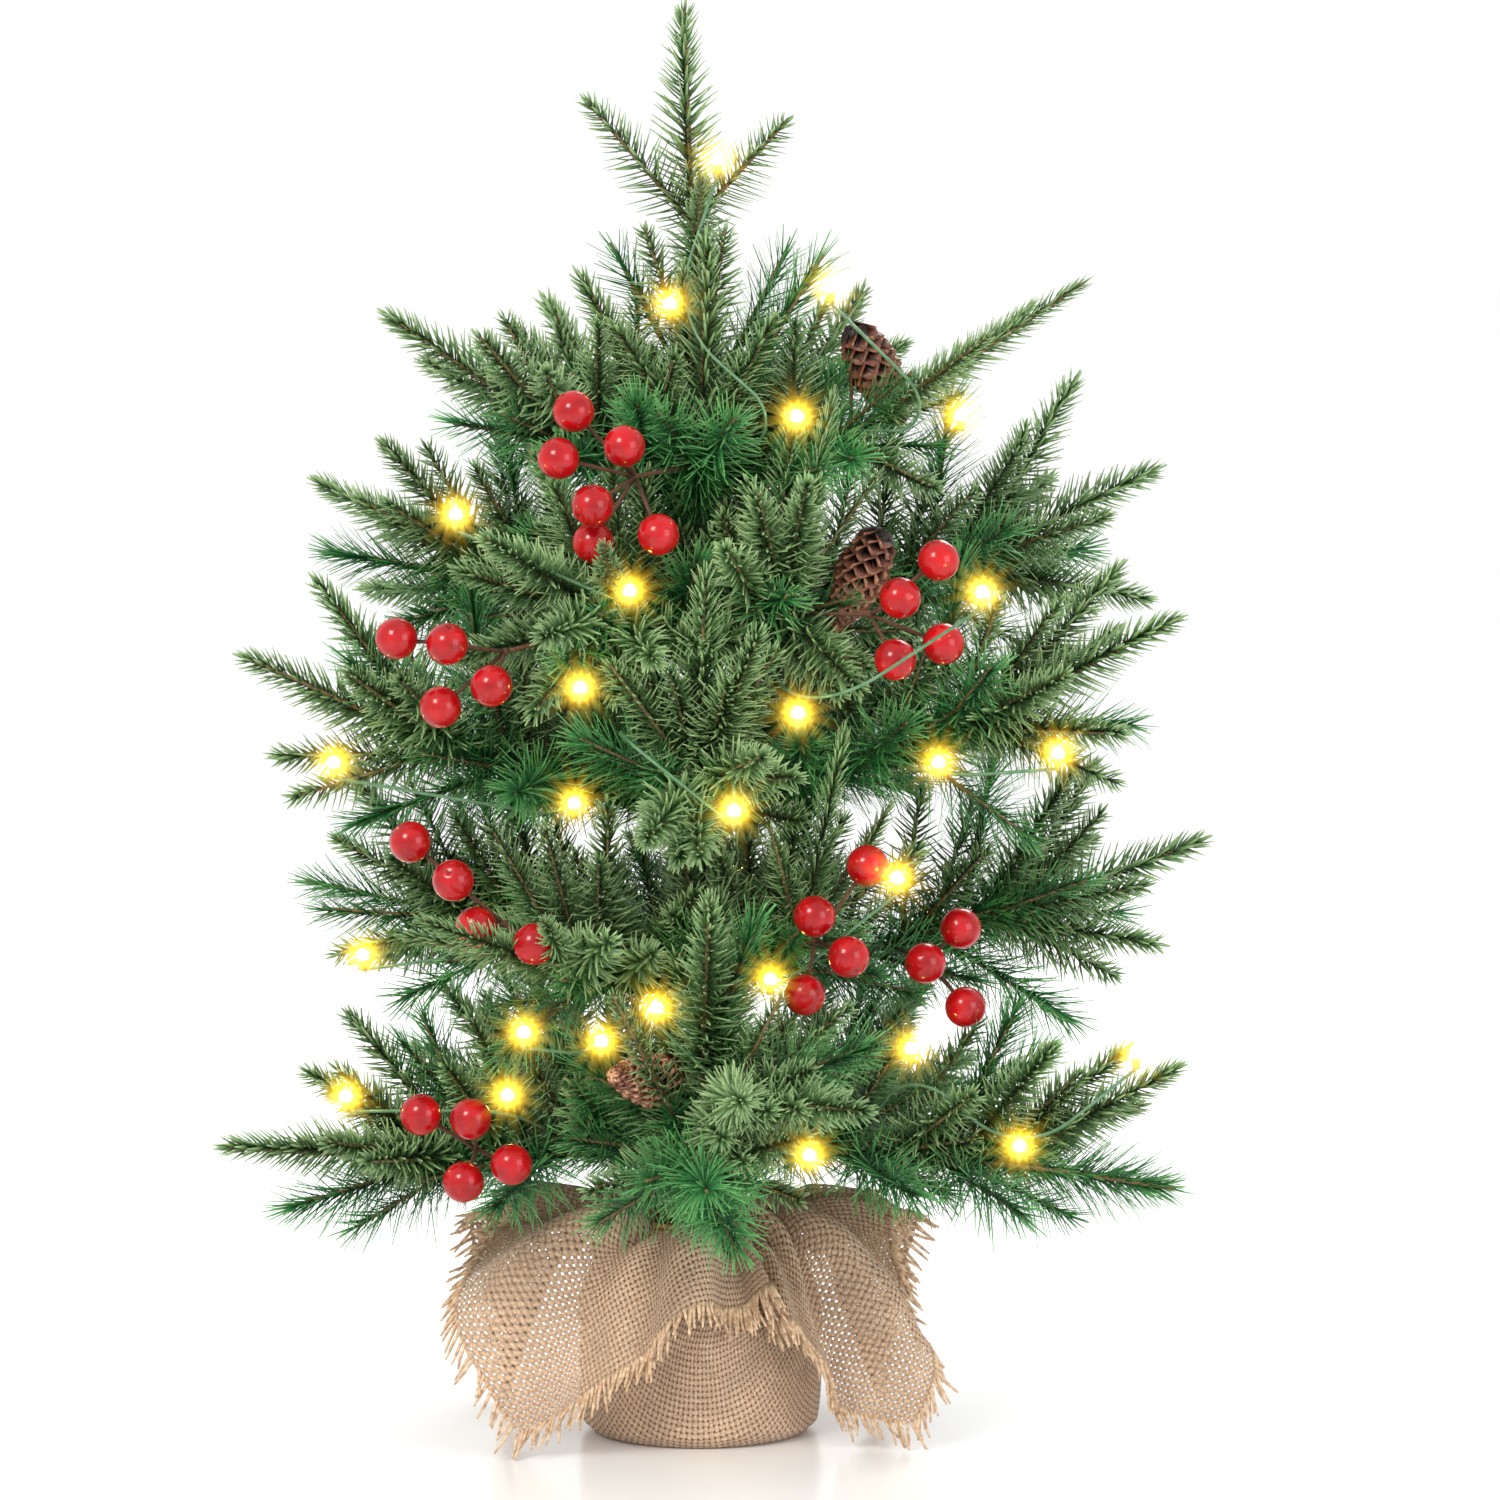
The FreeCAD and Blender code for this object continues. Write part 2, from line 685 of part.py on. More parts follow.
# Four corners of the square hang down outside the lip: azimuth, reach beyond the weight, height.
CORNERS = ((236, 74.6, 15), (330, 66.6, 12), (38, 62.6, 22), (146, 66.6, 20))
cloth_pieces = [cloth]
for number, (azimuth, reach, low) in enumerate(CORNERS, start=1):
    out, across = direction_of(azimuth, 0), direction_of(azimuth + 90, 0)
    under_lip = Vector(0, 0, size("lip_height") - 2 * size("cloth_thickness"))
    top = under_lip + out * (size("lip_radius") - size("flap_tuck"))
    point = Vector(0, 0, low) + out * (size("base_radius") + reach)
    half_top, half_point = across * (size("flap_width") / 2), across * (size("flap_point") / 2)
    sides = [top + half_top, point + half_point, point - half_point, top - half_top]
    face = Part.Face(Part.makePolygon([*sides, sides[0]]))
    flap = doc.addObject("Part::Feature", f"Flap_{number}")
    flap.Shape = face.extrude(face.normalAt(0, 0) * size("flap_thickness"))
    cloth_pieces.append(flap)
keep(group("BurlapWrap", cloth_pieces), "burlap_wrap")

twine = []
twine_count = int(size("twine_turns"))
for number in range(twine_count):
    turn = doc.addObject("Part::Torus", f"TwineTurn_{number}")
    above_neck = number - (twine_count - 1) / 2
    bind(
        turn,
        Radius1=f"{cell('neck_radius')} + {skin} + 2 * {cell('twine_radius')}",
        Radius2=cell("twine_radius"),
        Placement__Base__z=f"{cell('neck_height')} + {above_neck} * 2 * {cell('twine_radius')}",
    )
    twine.append(turn)
keep(group("TwineTie", twine), "twine_tie")

# ---------------------------------------------------------------- battery box

# The case stands behind the base. x runs across its width from the middle, y backwards, z up.
left = f"-{cell('case_width')} / 2"
front = f"({cell('base_radius')} + {cell('cloth_thickness')} + {cell('case_gap')})"
wall = cell("case_wall")
gap = cell("slide_gap")
track_deep = f"({cell('cover_thickness')} + 2 * {gap})"
track_front = f"{front} + {cell('case_depth')} - {wall} - {track_deep}"
tray = block("CaseBlock", (left, front, "0"), (cell("case_width"), cell("case_depth"), cell("case_tall")))
hollow = block(
    "CaseHollow",
    (f"{left} + {wall}", f"{front} + {wall}", wall),
    (f"{cell('case_width')} - 2 * {wall}", cell("case_depth"), f"{cell('case_tall')} - 2 * {wall}"),
)
track = block(
    "CoverTrack",
    (f"{left} + {wall}", track_front, f"{wall} - {cell('track_depth')}"),
    (cell("case_width"), track_deep, f"{cell('case_tall')} - 2 * {wall} + 2 * {cell('track_depth')}"),
)
way_out = block(
    "CoverWayOut",
    (f"{cell('case_width')} / 2 - 2 * {wall}", track_front, wall),
    (f"3 * {wall}", cell("case_depth"), f"{cell('case_tall')} - 2 * {wall}"),
)
knob_x = f"({cell('case_width')} / 2 - {cell('knob_inset')})"
knob_y = f"({front} + {cell('case_depth')} / 2)"
knob_slot = block(
    "KnobSlot",
    (
        f"{knob_x} - {cell('knob_width')} / 2 - {gap}",
        f"{knob_y} - {cell('knob_width')} / 2 - {gap}",
        f"{cell('case_tall')} - 2 * {wall}",
    ),
    (
        f"{cell('knob_width')} + {cell('knob_travel')} + 2 * {gap}",
        f"{cell('knob_width')} + 2 * {gap}",
        f"3 * {wall}",
    ),
)
case = cut("CaseCut", tray, join("CaseTools", [hollow, track, way_out, knob_slot]))
keep(case, "battery_case")

plate = block(
    "CoverPlate",
    (
        f"{left} + {wall} + {gap}",
        f"{track_front} + {gap}",
        f"{wall} - {cell('track_depth')} + {gap}",
    ),
    (
        f"{cell('case_width')} - {wall} - {gap}",
        cell("cover_thickness"),
        f"{cell('case_tall')} - 2 * {wall} + 2 * {cell('track_depth')} - 2 * {gap}",
    ),
)
ridges = [
    block(
        f"CoverRidge_{number}",
        (
            f"{cell('case_width')} / 2 - {cell('ridge_pitch')} * {number + 2}",
            f"{track_front} + {gap} + {cell('cover_thickness')}",
            f"{cell('case_tall')} / 2 - {cell('ridge_tall')} / 2",
        ),
        (cell("ridge_width"), cell("ridge_stand"), cell("ridge_tall")),
    )
    for number in range(4)
]
keep(join("BatteryCover", [plate, *ridges]), "battery_cover")

cells, contacts = [], []
cell_floor = f"{wall} + {cell('contact_thickness')} + {cell('spring_long')}"
for number in range(3):
    centre_x = f"{left} + {wall} + {cell('cell_pitch')} * {number + 0.5}"
    centre_y = f"{front} + {wall} + {cell('cell_pitch')} / 2"
    can = rod(f"Cell_{number}", cell("cell_radius"), cell("cell_long"), Vector(), Vector(0, 0, 1))
    bind(can, Placement__Base__x=centre_x, Placement__Base__y=centre_y, Placement__Base__z=cell_floor)
    nub = rod(f"CellNub_{number}", cell("nub_radius"), cell("nub_long"), Vector(), Vector(0, 0, 1))
    nub_z = f"{cell_floor} + {cell('cell_long')}"
    bind(nub, Placement__Base__x=centre_x, Placement__Base__y=centre_y, Placement__Base__z=nub_z)
    cells.append(join(f"WholeCell_{number}", [can, nub]))
    for end, foot in (("low", wall), ("high", f"{cell('case_tall')} - {wall} - {cell('contact_thickness')}")):
        strip = block(
            f"Contact_{end}_{number}",
            (
                f"{centre_x} - {cell('contact_width')} / 2",
                f"{centre_y} - {cell('contact_width')} / 2",
                foot,
            ),
            (cell("contact_width"), cell("contact_width"), cell("contact_thickness")),
        )
        contacts.append(strip)
    helix = Part.makeHelix(size("spring_pitch"), size("spring_rise"), size("spring_radius"))
    start = Vector(size("spring_radius"), 0, 0)
    ring = Part.Wire([Part.Circle(start, Vector(0, 1, 0), size("spring_wire") / 2).toShape()])
    coil = doc.addObject("Part::Feature", f"Spring_{number}")
    coil.Shape = Part.Wire(helix).makePipeShell([ring], True, True)
    coil_z = f"{wall} + {cell('contact_thickness')} + {cell('spring_wire')} / 2"
    bind(coil, Placement__Base__x=centre_x, Placement__Base__y=centre_y, Placement__Base__z=coil_z)
    contacts.append(coil)
keep(group("BatteryCells", cells), "battery_cells")
keep(group("BatteryContacts", contacts), "battery_contacts")

# The timer board stands on edge beside the cells and carries the slide switch under its slot.
board_x = f"({cell('case_width')} / 2 - {wall} - {cell('board_clear')} - {cell('board_thickness')})"
board = block(
    "TimerBoard",
    (board_x, f"{front} + {wall}", f"2 * {wall}"),
    (cell("board_thickness"), cell("board_deep"), cell("board_tall")),
)
chip = block(
    "TimerChip",
    (
        f"{board_x} - {cell('chip_thickness')}",
        f"{front} + {wall} + {cell('board_deep')} / 2 - {cell('chip_deep')} / 2",
        cell("chip_foot"),
    ),
    (cell("chip_thickness"), cell("chip_deep"), cell("chip_tall")),
)
switch_body = block(
    "SwitchBody",
    (
        f"{board_x} - {cell('switch_long')}",
        f"{knob_y} - {cell('switch_deep')} / 2",
        f"{cell('case_tall')} - {wall} - {cell('switch_clear')} - {cell('switch_tall')}",
    ),
    (cell("switch_long"), cell("switch_deep"), cell("switch_tall")),
)
keep(join("CircuitBoard", [board, chip, switch_body]), "circuit_board")

knob = block(
    "SwitchKnob",
    (
        f"{knob_x} - {cell('knob_width')} / 2",
        f"{knob_y} - {cell('knob_width')} / 2",
        f"{cell('case_tall')} - {wall} - {cell('knob_sink')}",
    ),
    (cell("knob_width"), cell("knob_width"), f"{wall} + {cell('knob_sink')} + {cell('knob_stand')}"),
)
keep(knob, "switch_knob")

# The lead leaves the case's top between two corners of the cloth, crosses the lip, dips to the pole
# and climbs its back to the crown, a little to and fro.
case_middle = size("base_radius") + size("cloth_thickness") + size("case_gap") + size("case_depth") / 2
lip_top = size("lip_height")
lead_x = -2
beside_pole = size("pole_radius") + size("lead_diameter") / 2 + 0.1
climb_start = lip_top + 12
climb_end = size("crown_height") - 6
lead_route = [
    Vector(lead_x, case_middle, size("case_tall")),
    Vector(lead_x, case_middle + 1, size("case_tall") + 22),
    Vector(lead_x, case_middle, lip_top + 5),
    Vector(lead_x / 2, size("lip_radius") - 10, lip_top + 8),
    Vector(0, 16, lip_top - 4),
]
for step in range(6):
    sway = 0.4 * (-1) ** step
    lead_route.append(Vector(sway, beside_pole, climb_start + (climb_end - climb_start) * step / 5))
lead = doc.addObject("Part::Feature", "LightLead")
lead.Shape = tube(lead_route, size("lead_diameter"), "light_lead")
keep(lead, "light_lead")

# ---------------------------------------------------------------- checks and files

doc.recompute()
for thing in doc.Objects:
    if "Invalid" in thing.State or "Error" in thing.State:
        raise ValueError(f"{thing.Label} did not recompute: {thing.State}")
os.makedirs("parts", exist_ok=True)
for node in nodes:
    if node.Shape.isNull() or not node.Shape.isValid():
        raise ValueError(f"{node.Label} has no valid shape")
for node in nodes:
    node.Shape.exportStep(f"parts/{node.Label}.step")
print(len(nodes), "nodes written")
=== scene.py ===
"""Artificial tabletop tree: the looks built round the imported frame, in metres."""

import json
import math
import random

import bmesh
import bpy
import numpy as np
from mathutils import Matrix, Vector, noise


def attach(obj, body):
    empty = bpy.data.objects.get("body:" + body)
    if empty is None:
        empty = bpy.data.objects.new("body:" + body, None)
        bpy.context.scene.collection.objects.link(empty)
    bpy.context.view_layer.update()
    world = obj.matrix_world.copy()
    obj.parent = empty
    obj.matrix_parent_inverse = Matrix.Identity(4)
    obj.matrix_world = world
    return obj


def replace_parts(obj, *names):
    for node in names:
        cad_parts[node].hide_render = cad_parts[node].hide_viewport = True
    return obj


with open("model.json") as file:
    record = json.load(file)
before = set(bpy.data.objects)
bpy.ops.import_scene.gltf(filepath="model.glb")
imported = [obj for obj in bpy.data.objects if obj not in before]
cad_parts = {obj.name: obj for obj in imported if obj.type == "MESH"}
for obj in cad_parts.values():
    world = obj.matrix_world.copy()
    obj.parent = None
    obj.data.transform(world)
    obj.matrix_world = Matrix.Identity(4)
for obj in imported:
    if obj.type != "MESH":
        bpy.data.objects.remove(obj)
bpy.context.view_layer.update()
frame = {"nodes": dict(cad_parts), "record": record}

MM = 0.001
RANDOM = random.Random(24)

# ---------------------------------------------------------------- camera, floor and light
# A white table top under soft studio light. The camera stands well back on a long lens, a little
# above the middle of the tree, and a faint star shows round each bright lamp.

FRAME_WIDE = 638.6 * MM
AIM = Vector((21.5 * MM, 0, 292.5 * MM))
CAMERA_BACK = 2.6
CAMERA_RISE = math.radians(5)


def linear(text):
    """The linear colour, with full alpha, of an sRGB hex value such as c4a58a."""
    parts = [int(text[n : n + 2], 16) / 255 for n in (0, 2, 4)]
    return [c / 12.92 if c <= 0.04045 else ((c + 0.055) / 1.055) ** 2.4 for c in parts] + [1.0]


def add(tree, kind, links=None, values=None, **settings):
    """Adds a node with its settings, the values of its sockets, and the sockets linked into it."""
    made = tree.nodes.new(kind)
    for name, value in settings.items():
        setattr(made, name, value)
    for key, value in (values or {}).items():
        made.inputs[key].default_value = value
    for key, socket in (links or {}).items():
        tree.links.new(socket, made.inputs[key])
    return made


def finish_named(name, **values):
    """A material with one shader, whose sockets hold the values; gives its tree and shader too."""
    material = bpy.data.materials.new(name)
    material.use_nodes = True
    shader = material.node_tree.nodes["Principled BSDF"]
    for key, value in values.items():
        shader.inputs[key.replace("_", " ")].default_value = value
    return material, material.node_tree, shader


scene = bpy.context.scene
camera_data = bpy.data.cameras.new("Camera")
camera_data.lens = camera_data.sensor_width * CAMERA_BACK / FRAME_WIDE
camera = bpy.data.objects.new("Camera", camera_data)
scene.collection.objects.link(camera)
camera.location = AIM + CAMERA_BACK * Vector((0, -math.cos(CAMERA_RISE), math.sin(CAMERA_RISE)))
camera.rotation_euler = (math.pi / 2 - CAMERA_RISE, 0, 0)
scene.camera = camera
scene.view_settings.view_transform = "Standard"

world = bpy.data.worlds.new("Studio")
world.use_nodes = True
world.node_tree.nodes["Background"].inputs["Color"].default_value = (1, 1, 1, 1)
world.node_tree.nodes["Background"].inputs["Strength"].default_value = 1.04
scene.world = world

LIGHTS = (
    # name, place, width (m), power (W), colour
    ("Key", (-1.1, -1.7, 1.7), 0.7, 34, "fffaf2"),
    ("Fill", (1.5, -1.4, 0.7), 1.1, 12, "f6faff"),
    ("Rim", (0.6, 1.5, 1.5), 0.8, 16, "ffffff"),
)
for name, place, wide, power, tint in LIGHTS:
    lamp_data = bpy.data.lights.new(name, "AREA")
    lamp_data.size = wide
    lamp_data.energy = power
    lamp_data.color = linear(tint)[:3]
    lamp = bpy.data.objects.new(name, lamp_data)
    scene.collection.objects.link(lamp)
    lamp.location = place
    lamp.rotation_euler = (Vector(place) - AIM).to_track_quat("Z", "Y").to_euler()

floor_mesh = bpy.data.meshes.new("Floor")
floor_bm = bmesh.new()
bmesh.ops.create_grid(floor_bm, x_segments=1, y_segments=1, size=60)
floor_bm.to_mesh(floor_mesh)
floor_bm.free()
floor = bpy.data.objects.new("Floor", floor_mesh)
scene.collection.objects.link(floor)
floor_look, _, _ = finish_named("White lacquered top", Base_Color=(0.97, 0.97, 0.97, 1), Roughness=0.22)
floor_mesh.materials.append(floor_look)

scene.use_nodes = True
star_tree = scene.node_tree
star_tree.nodes.clear()
picture = add(star_tree, "CompositorNodeRLayers")
star = add(star_tree, "CompositorNodeGlare", links={"Image": picture.outputs["Image"]})
star.glare_type = "STREAKS"
star.quality = "HIGH"
star.inputs["Threshold"].default_value = 6.0
star.inputs["Strength"].default_value = 0.5
star.inputs["Tint"].default_value = (1.0, 0.83, 0.2, 1.0)
star.inputs["Streaks"].default_value = 12
star.inputs["Streaks Angle"].default_value = math.radians(12)
star.inputs["Iterations"].default_value = 3
star.inputs["Fade"].default_value = 0.86
star.inputs["Color Modulation"].default_value = 0.0
add(star_tree, "CompositorNodeComposite", links={"Image": star.outputs["Image"]})

# ---------------------------------------------------------------- base weight, pole and root wraps
# The weight is a cast grey block hidden in the cloth. The pole is a green painted steel wire, and
# brown-green floral tape is wound over the roots of each tier. All three keep the frame's shape.


def shown_as(name, material):
    """Gives a frame node that keeps its shape a better material."""
    for place in frame["nodes"][name].material_slots:
        place.material = material


def speckled(name, dark, light, grain_mm, roughness, bump=0.0, bump_mm=None, detail=4.0):
    """A material whose colour wanders between two hex values, with grain of a real size."""
    material, tree, shader = finish_named(name, Roughness=roughness)
    where = add(tree, "ShaderNodeTexCoord")
    grain = add(
        tree,
        "ShaderNodeTexNoise",
        links={"Vector": where.outputs["Object"]},
        values={"Scale": 1 / (grain_mm * MM), "Detail": detail, "Roughness": 0.6},
    )
    run = add(tree, "ShaderNodeValToRGB", links={"Fac": grain.outputs["Fac"]})
    run.color_ramp.elements[0].position = 0.32
    run.color_ramp.elements[0].color = linear(dark)
    run.color_ramp.elements[1].position = 0.68
    run.color_ramp.elements[1].color = linear(light)
    tree.links.new(run.outputs["Color"], shader.inputs["Base Color"])
    if bump:
        relief = add(
            tree,
            "ShaderNodeTexNoise",
            links={"Vector": where.outputs["Object"]},
            values={"Scale": 1 / ((bump_mm or grain_mm) * MM), "Detail": 3.0},
        )
        raised = add(
            tree,
            "ShaderNodeBump",
            links={"Height": relief.outputs["Fac"]},
            values={"Strength": 1.0, "Distance": bump * MM},
        )
        tree.links.new(raised.outputs["Normal"], shader.inputs["Normal"])
    return material


shown_as("base_weight", speckled("Cast cement", "7d7a74", "a8a59d", 3.0, 0.85, bump=0.25, bump_mm=1.2))
shown_as("trunk_pole", speckled("Green enamel on steel wire", "24361f", "34492a", 6.0, 0.45))
tape_look = speckled("Waxed floral tape", "3a3d22", "565a33", 2.4, 0.7, bump=0.3, bump_mm=1.6)
shown_as("root_wraps", tape_look)

# ---------------------------------------------------------------- burlap and its fringe
# One square of jute burlap, an open plain weave about 2.6 mm apart. It is gathered up round the
# weight, tied at the neck with twine, and its four corners fall over outside with frayed edges.

CLOTH_HALF = 190 * MM
WEAVE = 2.6 * MM
# The cloth's line from the middle of the underside to the neck: radius and height.
CUP_LINE = ((0, 0), (45, 0), (50.4, 4.6), (51.6, 20), (51.8, 50), (48.5, 61.5), (38, 74), (25, 87))
# Where each direction of the flat cloth hangs: its angle in the cloth, azimuth, heading as it leaves
# the neck, heading at its edge, and how many mm it takes to turn over. Corners are at 45, 135 ...
HANG = (
    (-30, 357, 22, -44, 62),
    (-10, 2, 30, -20, 60),
    (10, 8, 30, -12, 60),
    (28, 16, 24, -36, 60),
    (45, 38, 20, -64, 60),
    (60, 62, 24, -44, 60),
    (76, 84, 30, -14, 60),
    (104, 100, 30, -12, 60),
    (120, 118, 26, -40, 60),
    (135, 146, 20, -64, 60),
    (150, 168, 22, -30, 60),
    (170, 174, 28, -8, 60),
    (195, 178, 26, -4, 70),
    (210, 186, 24, -22, 66),
    (225, 222, 21, -64, 60),
    (240, 254, 24, -62, 46),
    (252, 276, 26, -58, 40),
    (262, 291, 18, -54, 30),
    (282, 300, 16, -50, 30),
    (300, 312, 16, -70, 40),
    (315, 331, 22, -66, 58),
    (330, 357, 22, -44, 62),
)
HANG_START = HANG[0][0]


def edge_at(angle):
    """How far the flat cloth reaches from its middle at an angle."""
    turn = math.radians(angle)
    return CLOTH_HALF / max(abs(math.cos(turn)), abs(math.sin(turn)))


def ramp(value, low, high):
    """Nought below low, one above high, and a straight line between."""
    return min(1.0, max(0.0, (value - low) / (high - low)))


def eased(share):
    """A share that starts and ends slowly."""
    return share * share * (3 - 2 * share)


def hang_at(angle):
    """The hang of the cloth at an angle of the flat square, smoothed between the rows above."""
    angle = (angle - HANG_START) % 360 + HANG_START
    for low, high in zip(HANG, HANG[1:]):
        if low[0] <= angle <= high[0]:
            share = (angle - low[0]) / (high[0] - low[0])
            share = (eased(share) + share) / 2
            ends = [list(low), list(high)]
            if ends[0][1] > 300 and ends[1][1] < 60:
                ends[0][1] -= 360
            return [a + (b - a) * share for a, b in zip(ends[0][1:], ends[1][1:])]
    raise ValueError(angle)


CUP = [Vector((r * MM, z * MM)) for r, z in CUP_LINE]
CUP_RUNS = [(b - a).length for a, b in zip(CUP, CUP[1:])]
TO_NECK = sum(CUP_RUNS)
ROUND = 320
DEEP = 128
# Past the neck the cloth is followed in this many steps.
HANG_STEPS = 14
# Depth of the folds: tight pleats at the tie, broad ones on the hang, small ones on the shoulder.
PLEAT = 7.2 * MM
BROAD_FOLD = 9.8 * MM
SHOULDER_FOLD = 3.2 * MM
PLEATS_REACH = 24 * MM
FOLDS_GROW = 70 * MM
SHOULDER_START = 98 * MM
SHOULDER_TOP = 105 * MM
SHOULDER_REACH = 30 * MM
# The crease on the wrap: where it starts, its height there, its fall and its step.
CREASE_FROM = 280
CREASE_WIDE = 45
CREASE_HIGH = 66 * MM
CREASE_FALL = 21 * MM
CREASE_STEP = 3.6 * MM
CREASE_SHARP = 0.9 * MM
CREASE_DEEP = 11 * MM
CREASE_LOWEST = 60 * MM
CREASE_FACES = math.radians(302)
# Rumples: how many to the metre, and how far they push.
RUMPLES = ((42, 1.5 * MM), (105, 0.7 * MM))
RUMPLES_GROW = (48 * MM, 62 * MM)
CLEAR_OF_FLOOR = 0.3 * MM


def fold_at(angle, out):
    """How far the folds stand off the smooth cloth."""
    turn = math.radians(angle)
    at_neck = math.exp(-(((out - TO_NECK) / PLEATS_REACH) ** 2))
    past = ramp(out, TO_NECK, TO_NECK + FOLDS_GROW)
    tight = math.sin(23 * turn + 0.6 * math.sin(3 * turn)) + 0.5 * math.sin(37 * turn + 1.3)
    broad = math.sin(15 * turn + 0.9 * math.sin(2 * turn + 1)) + 0.5 * math.sin(26 * turn + 2.1)
    small = math.sin(31 * turn + 1.0 + 0.9 * math.sin(5 * turn))
    shoulder = ramp(out, SHOULDER_START, SHOULDER_START + SHOULDER_REACH) * (1 - past)
    fold = tight * PLEAT * at_neck + broad * BROAD_FOLD * past**0.6
    return fold + small * SHOULDER_FOLD * shoulder * (1 - at_neck * 0.5)


def crease_at(bearing, high):
    """How far the long crease that slants down across the front of the wrap stands out."""
    along = (math.degrees(bearing) - CREASE_FROM) / CREASE_WIDE
    line_high = CREASE_HIGH - CREASE_FALL * max(0, along) ** 1.4
    below = line_high - high
    fade = math.exp(-((max(0, along - 1) / 0.15) ** 2) - (max(0, -along) / 0.3) ** 2)
    step = 1 / (1 + math.exp(-below / CREASE_SHARP))
    return fade * CREASE_STEP * step * math.exp(-max(0, below) / CREASE_DEEP)


def cloth_point(angle, out):
    """A point of the gathered cloth, from its direction and distance in the flat square."""
    azimuth, leave, arrive, turn_mm = hang_at(angle)
    on_cup = min(out, TO_NECK)
    passed = 0.0
    for start, end, run in zip(CUP, CUP[1:], CUP_RUNS):
        if on_cup <= passed + run + 1e-9:
            line = start.lerp(end, (on_cup - passed) / run)
            break
        passed += run
    spread = ramp(out, 0.62 * TO_NECK, TO_NECK)
    drift = ((azimuth - angle + 180) % 360) - 180
    bearing = math.radians(angle + drift * spread**1.5)
    radius, high = line.x, line.y
    if out > TO_NECK:
        left = out - TO_NECK
        turn_long = min(turn_mm * MM, edge_at(angle) - TO_NECK)
        for step in range(HANG_STEPS):
            here = (step + 0.5) / HANG_STEPS * left
            tilt = math.radians(leave + (arrive - leave) * eased(min(1.0, here / turn_long)))
            radius += math.cos(tilt) * left / HANG_STEPS
            high += math.sin(tilt) * left / HANG_STEPS
    else:
        tilt = math.radians(90 if out < SHOULDER_TOP else 135)
    fold = fold_at(angle, out)
    radius += fold * abs(math.sin(tilt))
    high += fold * abs(math.cos(tilt))
    outwards = Vector((math.cos(bearing), math.sin(bearing), 0))
    point = outwards * radius + Vector((0, 0, high))
    (coarse, coarse_push), (fine, fine_push) = RUMPLES
    push = noise.noise(point * coarse) * coarse_push
    push += noise.noise(point * fine + Vector((3, 1, 7))) * fine_push
    push *= ramp(out, *RUMPLES_GROW)
    if CREASE_LOWEST < out < TO_NECK and math.cos(bearing - CREASE_FACES) > 0.6:
        push += crease_at(bearing, point.z)
    point += outwards * push
    point.z = max(point.z, CLEAR_OF_FLOOR)
    return point


cloth_bm = bmesh.new()
flat_uv = cloth_bm.loops.layers.uv.new("flat")
loose = cloth_bm.verts.layers.float.new("loose")
bmesh.ops.create_grid(cloth_bm, x_segments=ROUND, y_segments=DEEP, size=0.5)
cloth_bm.verts.ensure_lookup_table()
flat_place = {}
for vert in cloth_bm.verts:
    angle = (vert.co.x + 0.5) * 360 + HANG_START
    out = max(0.1 * MM, (vert.co.y + 0.5) * edge_at(angle))
    turn = math.radians(angle)
    flat_place[vert.index] = (out * math.cos(turn), out * math.sin(turn))
    vert.co = cloth_point(angle, out)
    vert[loose] = min(1.0, max(0.0, (out - TO_NECK - 6 * MM) / (12 * MM)))
for face in cloth_bm.faces:
    for loop in face.loops:
        loop[flat_uv].uv = flat_place[loop.vert.index]
bmesh.ops.remove_doubles(cloth_bm, verts=cloth_bm.verts, dist=0.05 * MM)
bmesh.ops.recalc_face_normals(cloth_bm, faces=cloth_bm.faces)


def finished(bm, name, body, material, smooth=True):
    """Makes a piece from a bmesh, with its material and body."""
    mesh = bpy.data.meshes.new(name)
    bm.to_mesh(mesh)
    bm.free()
    if smooth:
        mesh.shade_smooth()
    mesh.materials.append(material)
    piece = bpy.data.objects.new(name, mesh)
    scene.collection.objects.link(piece)
    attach(piece, body)
    return piece


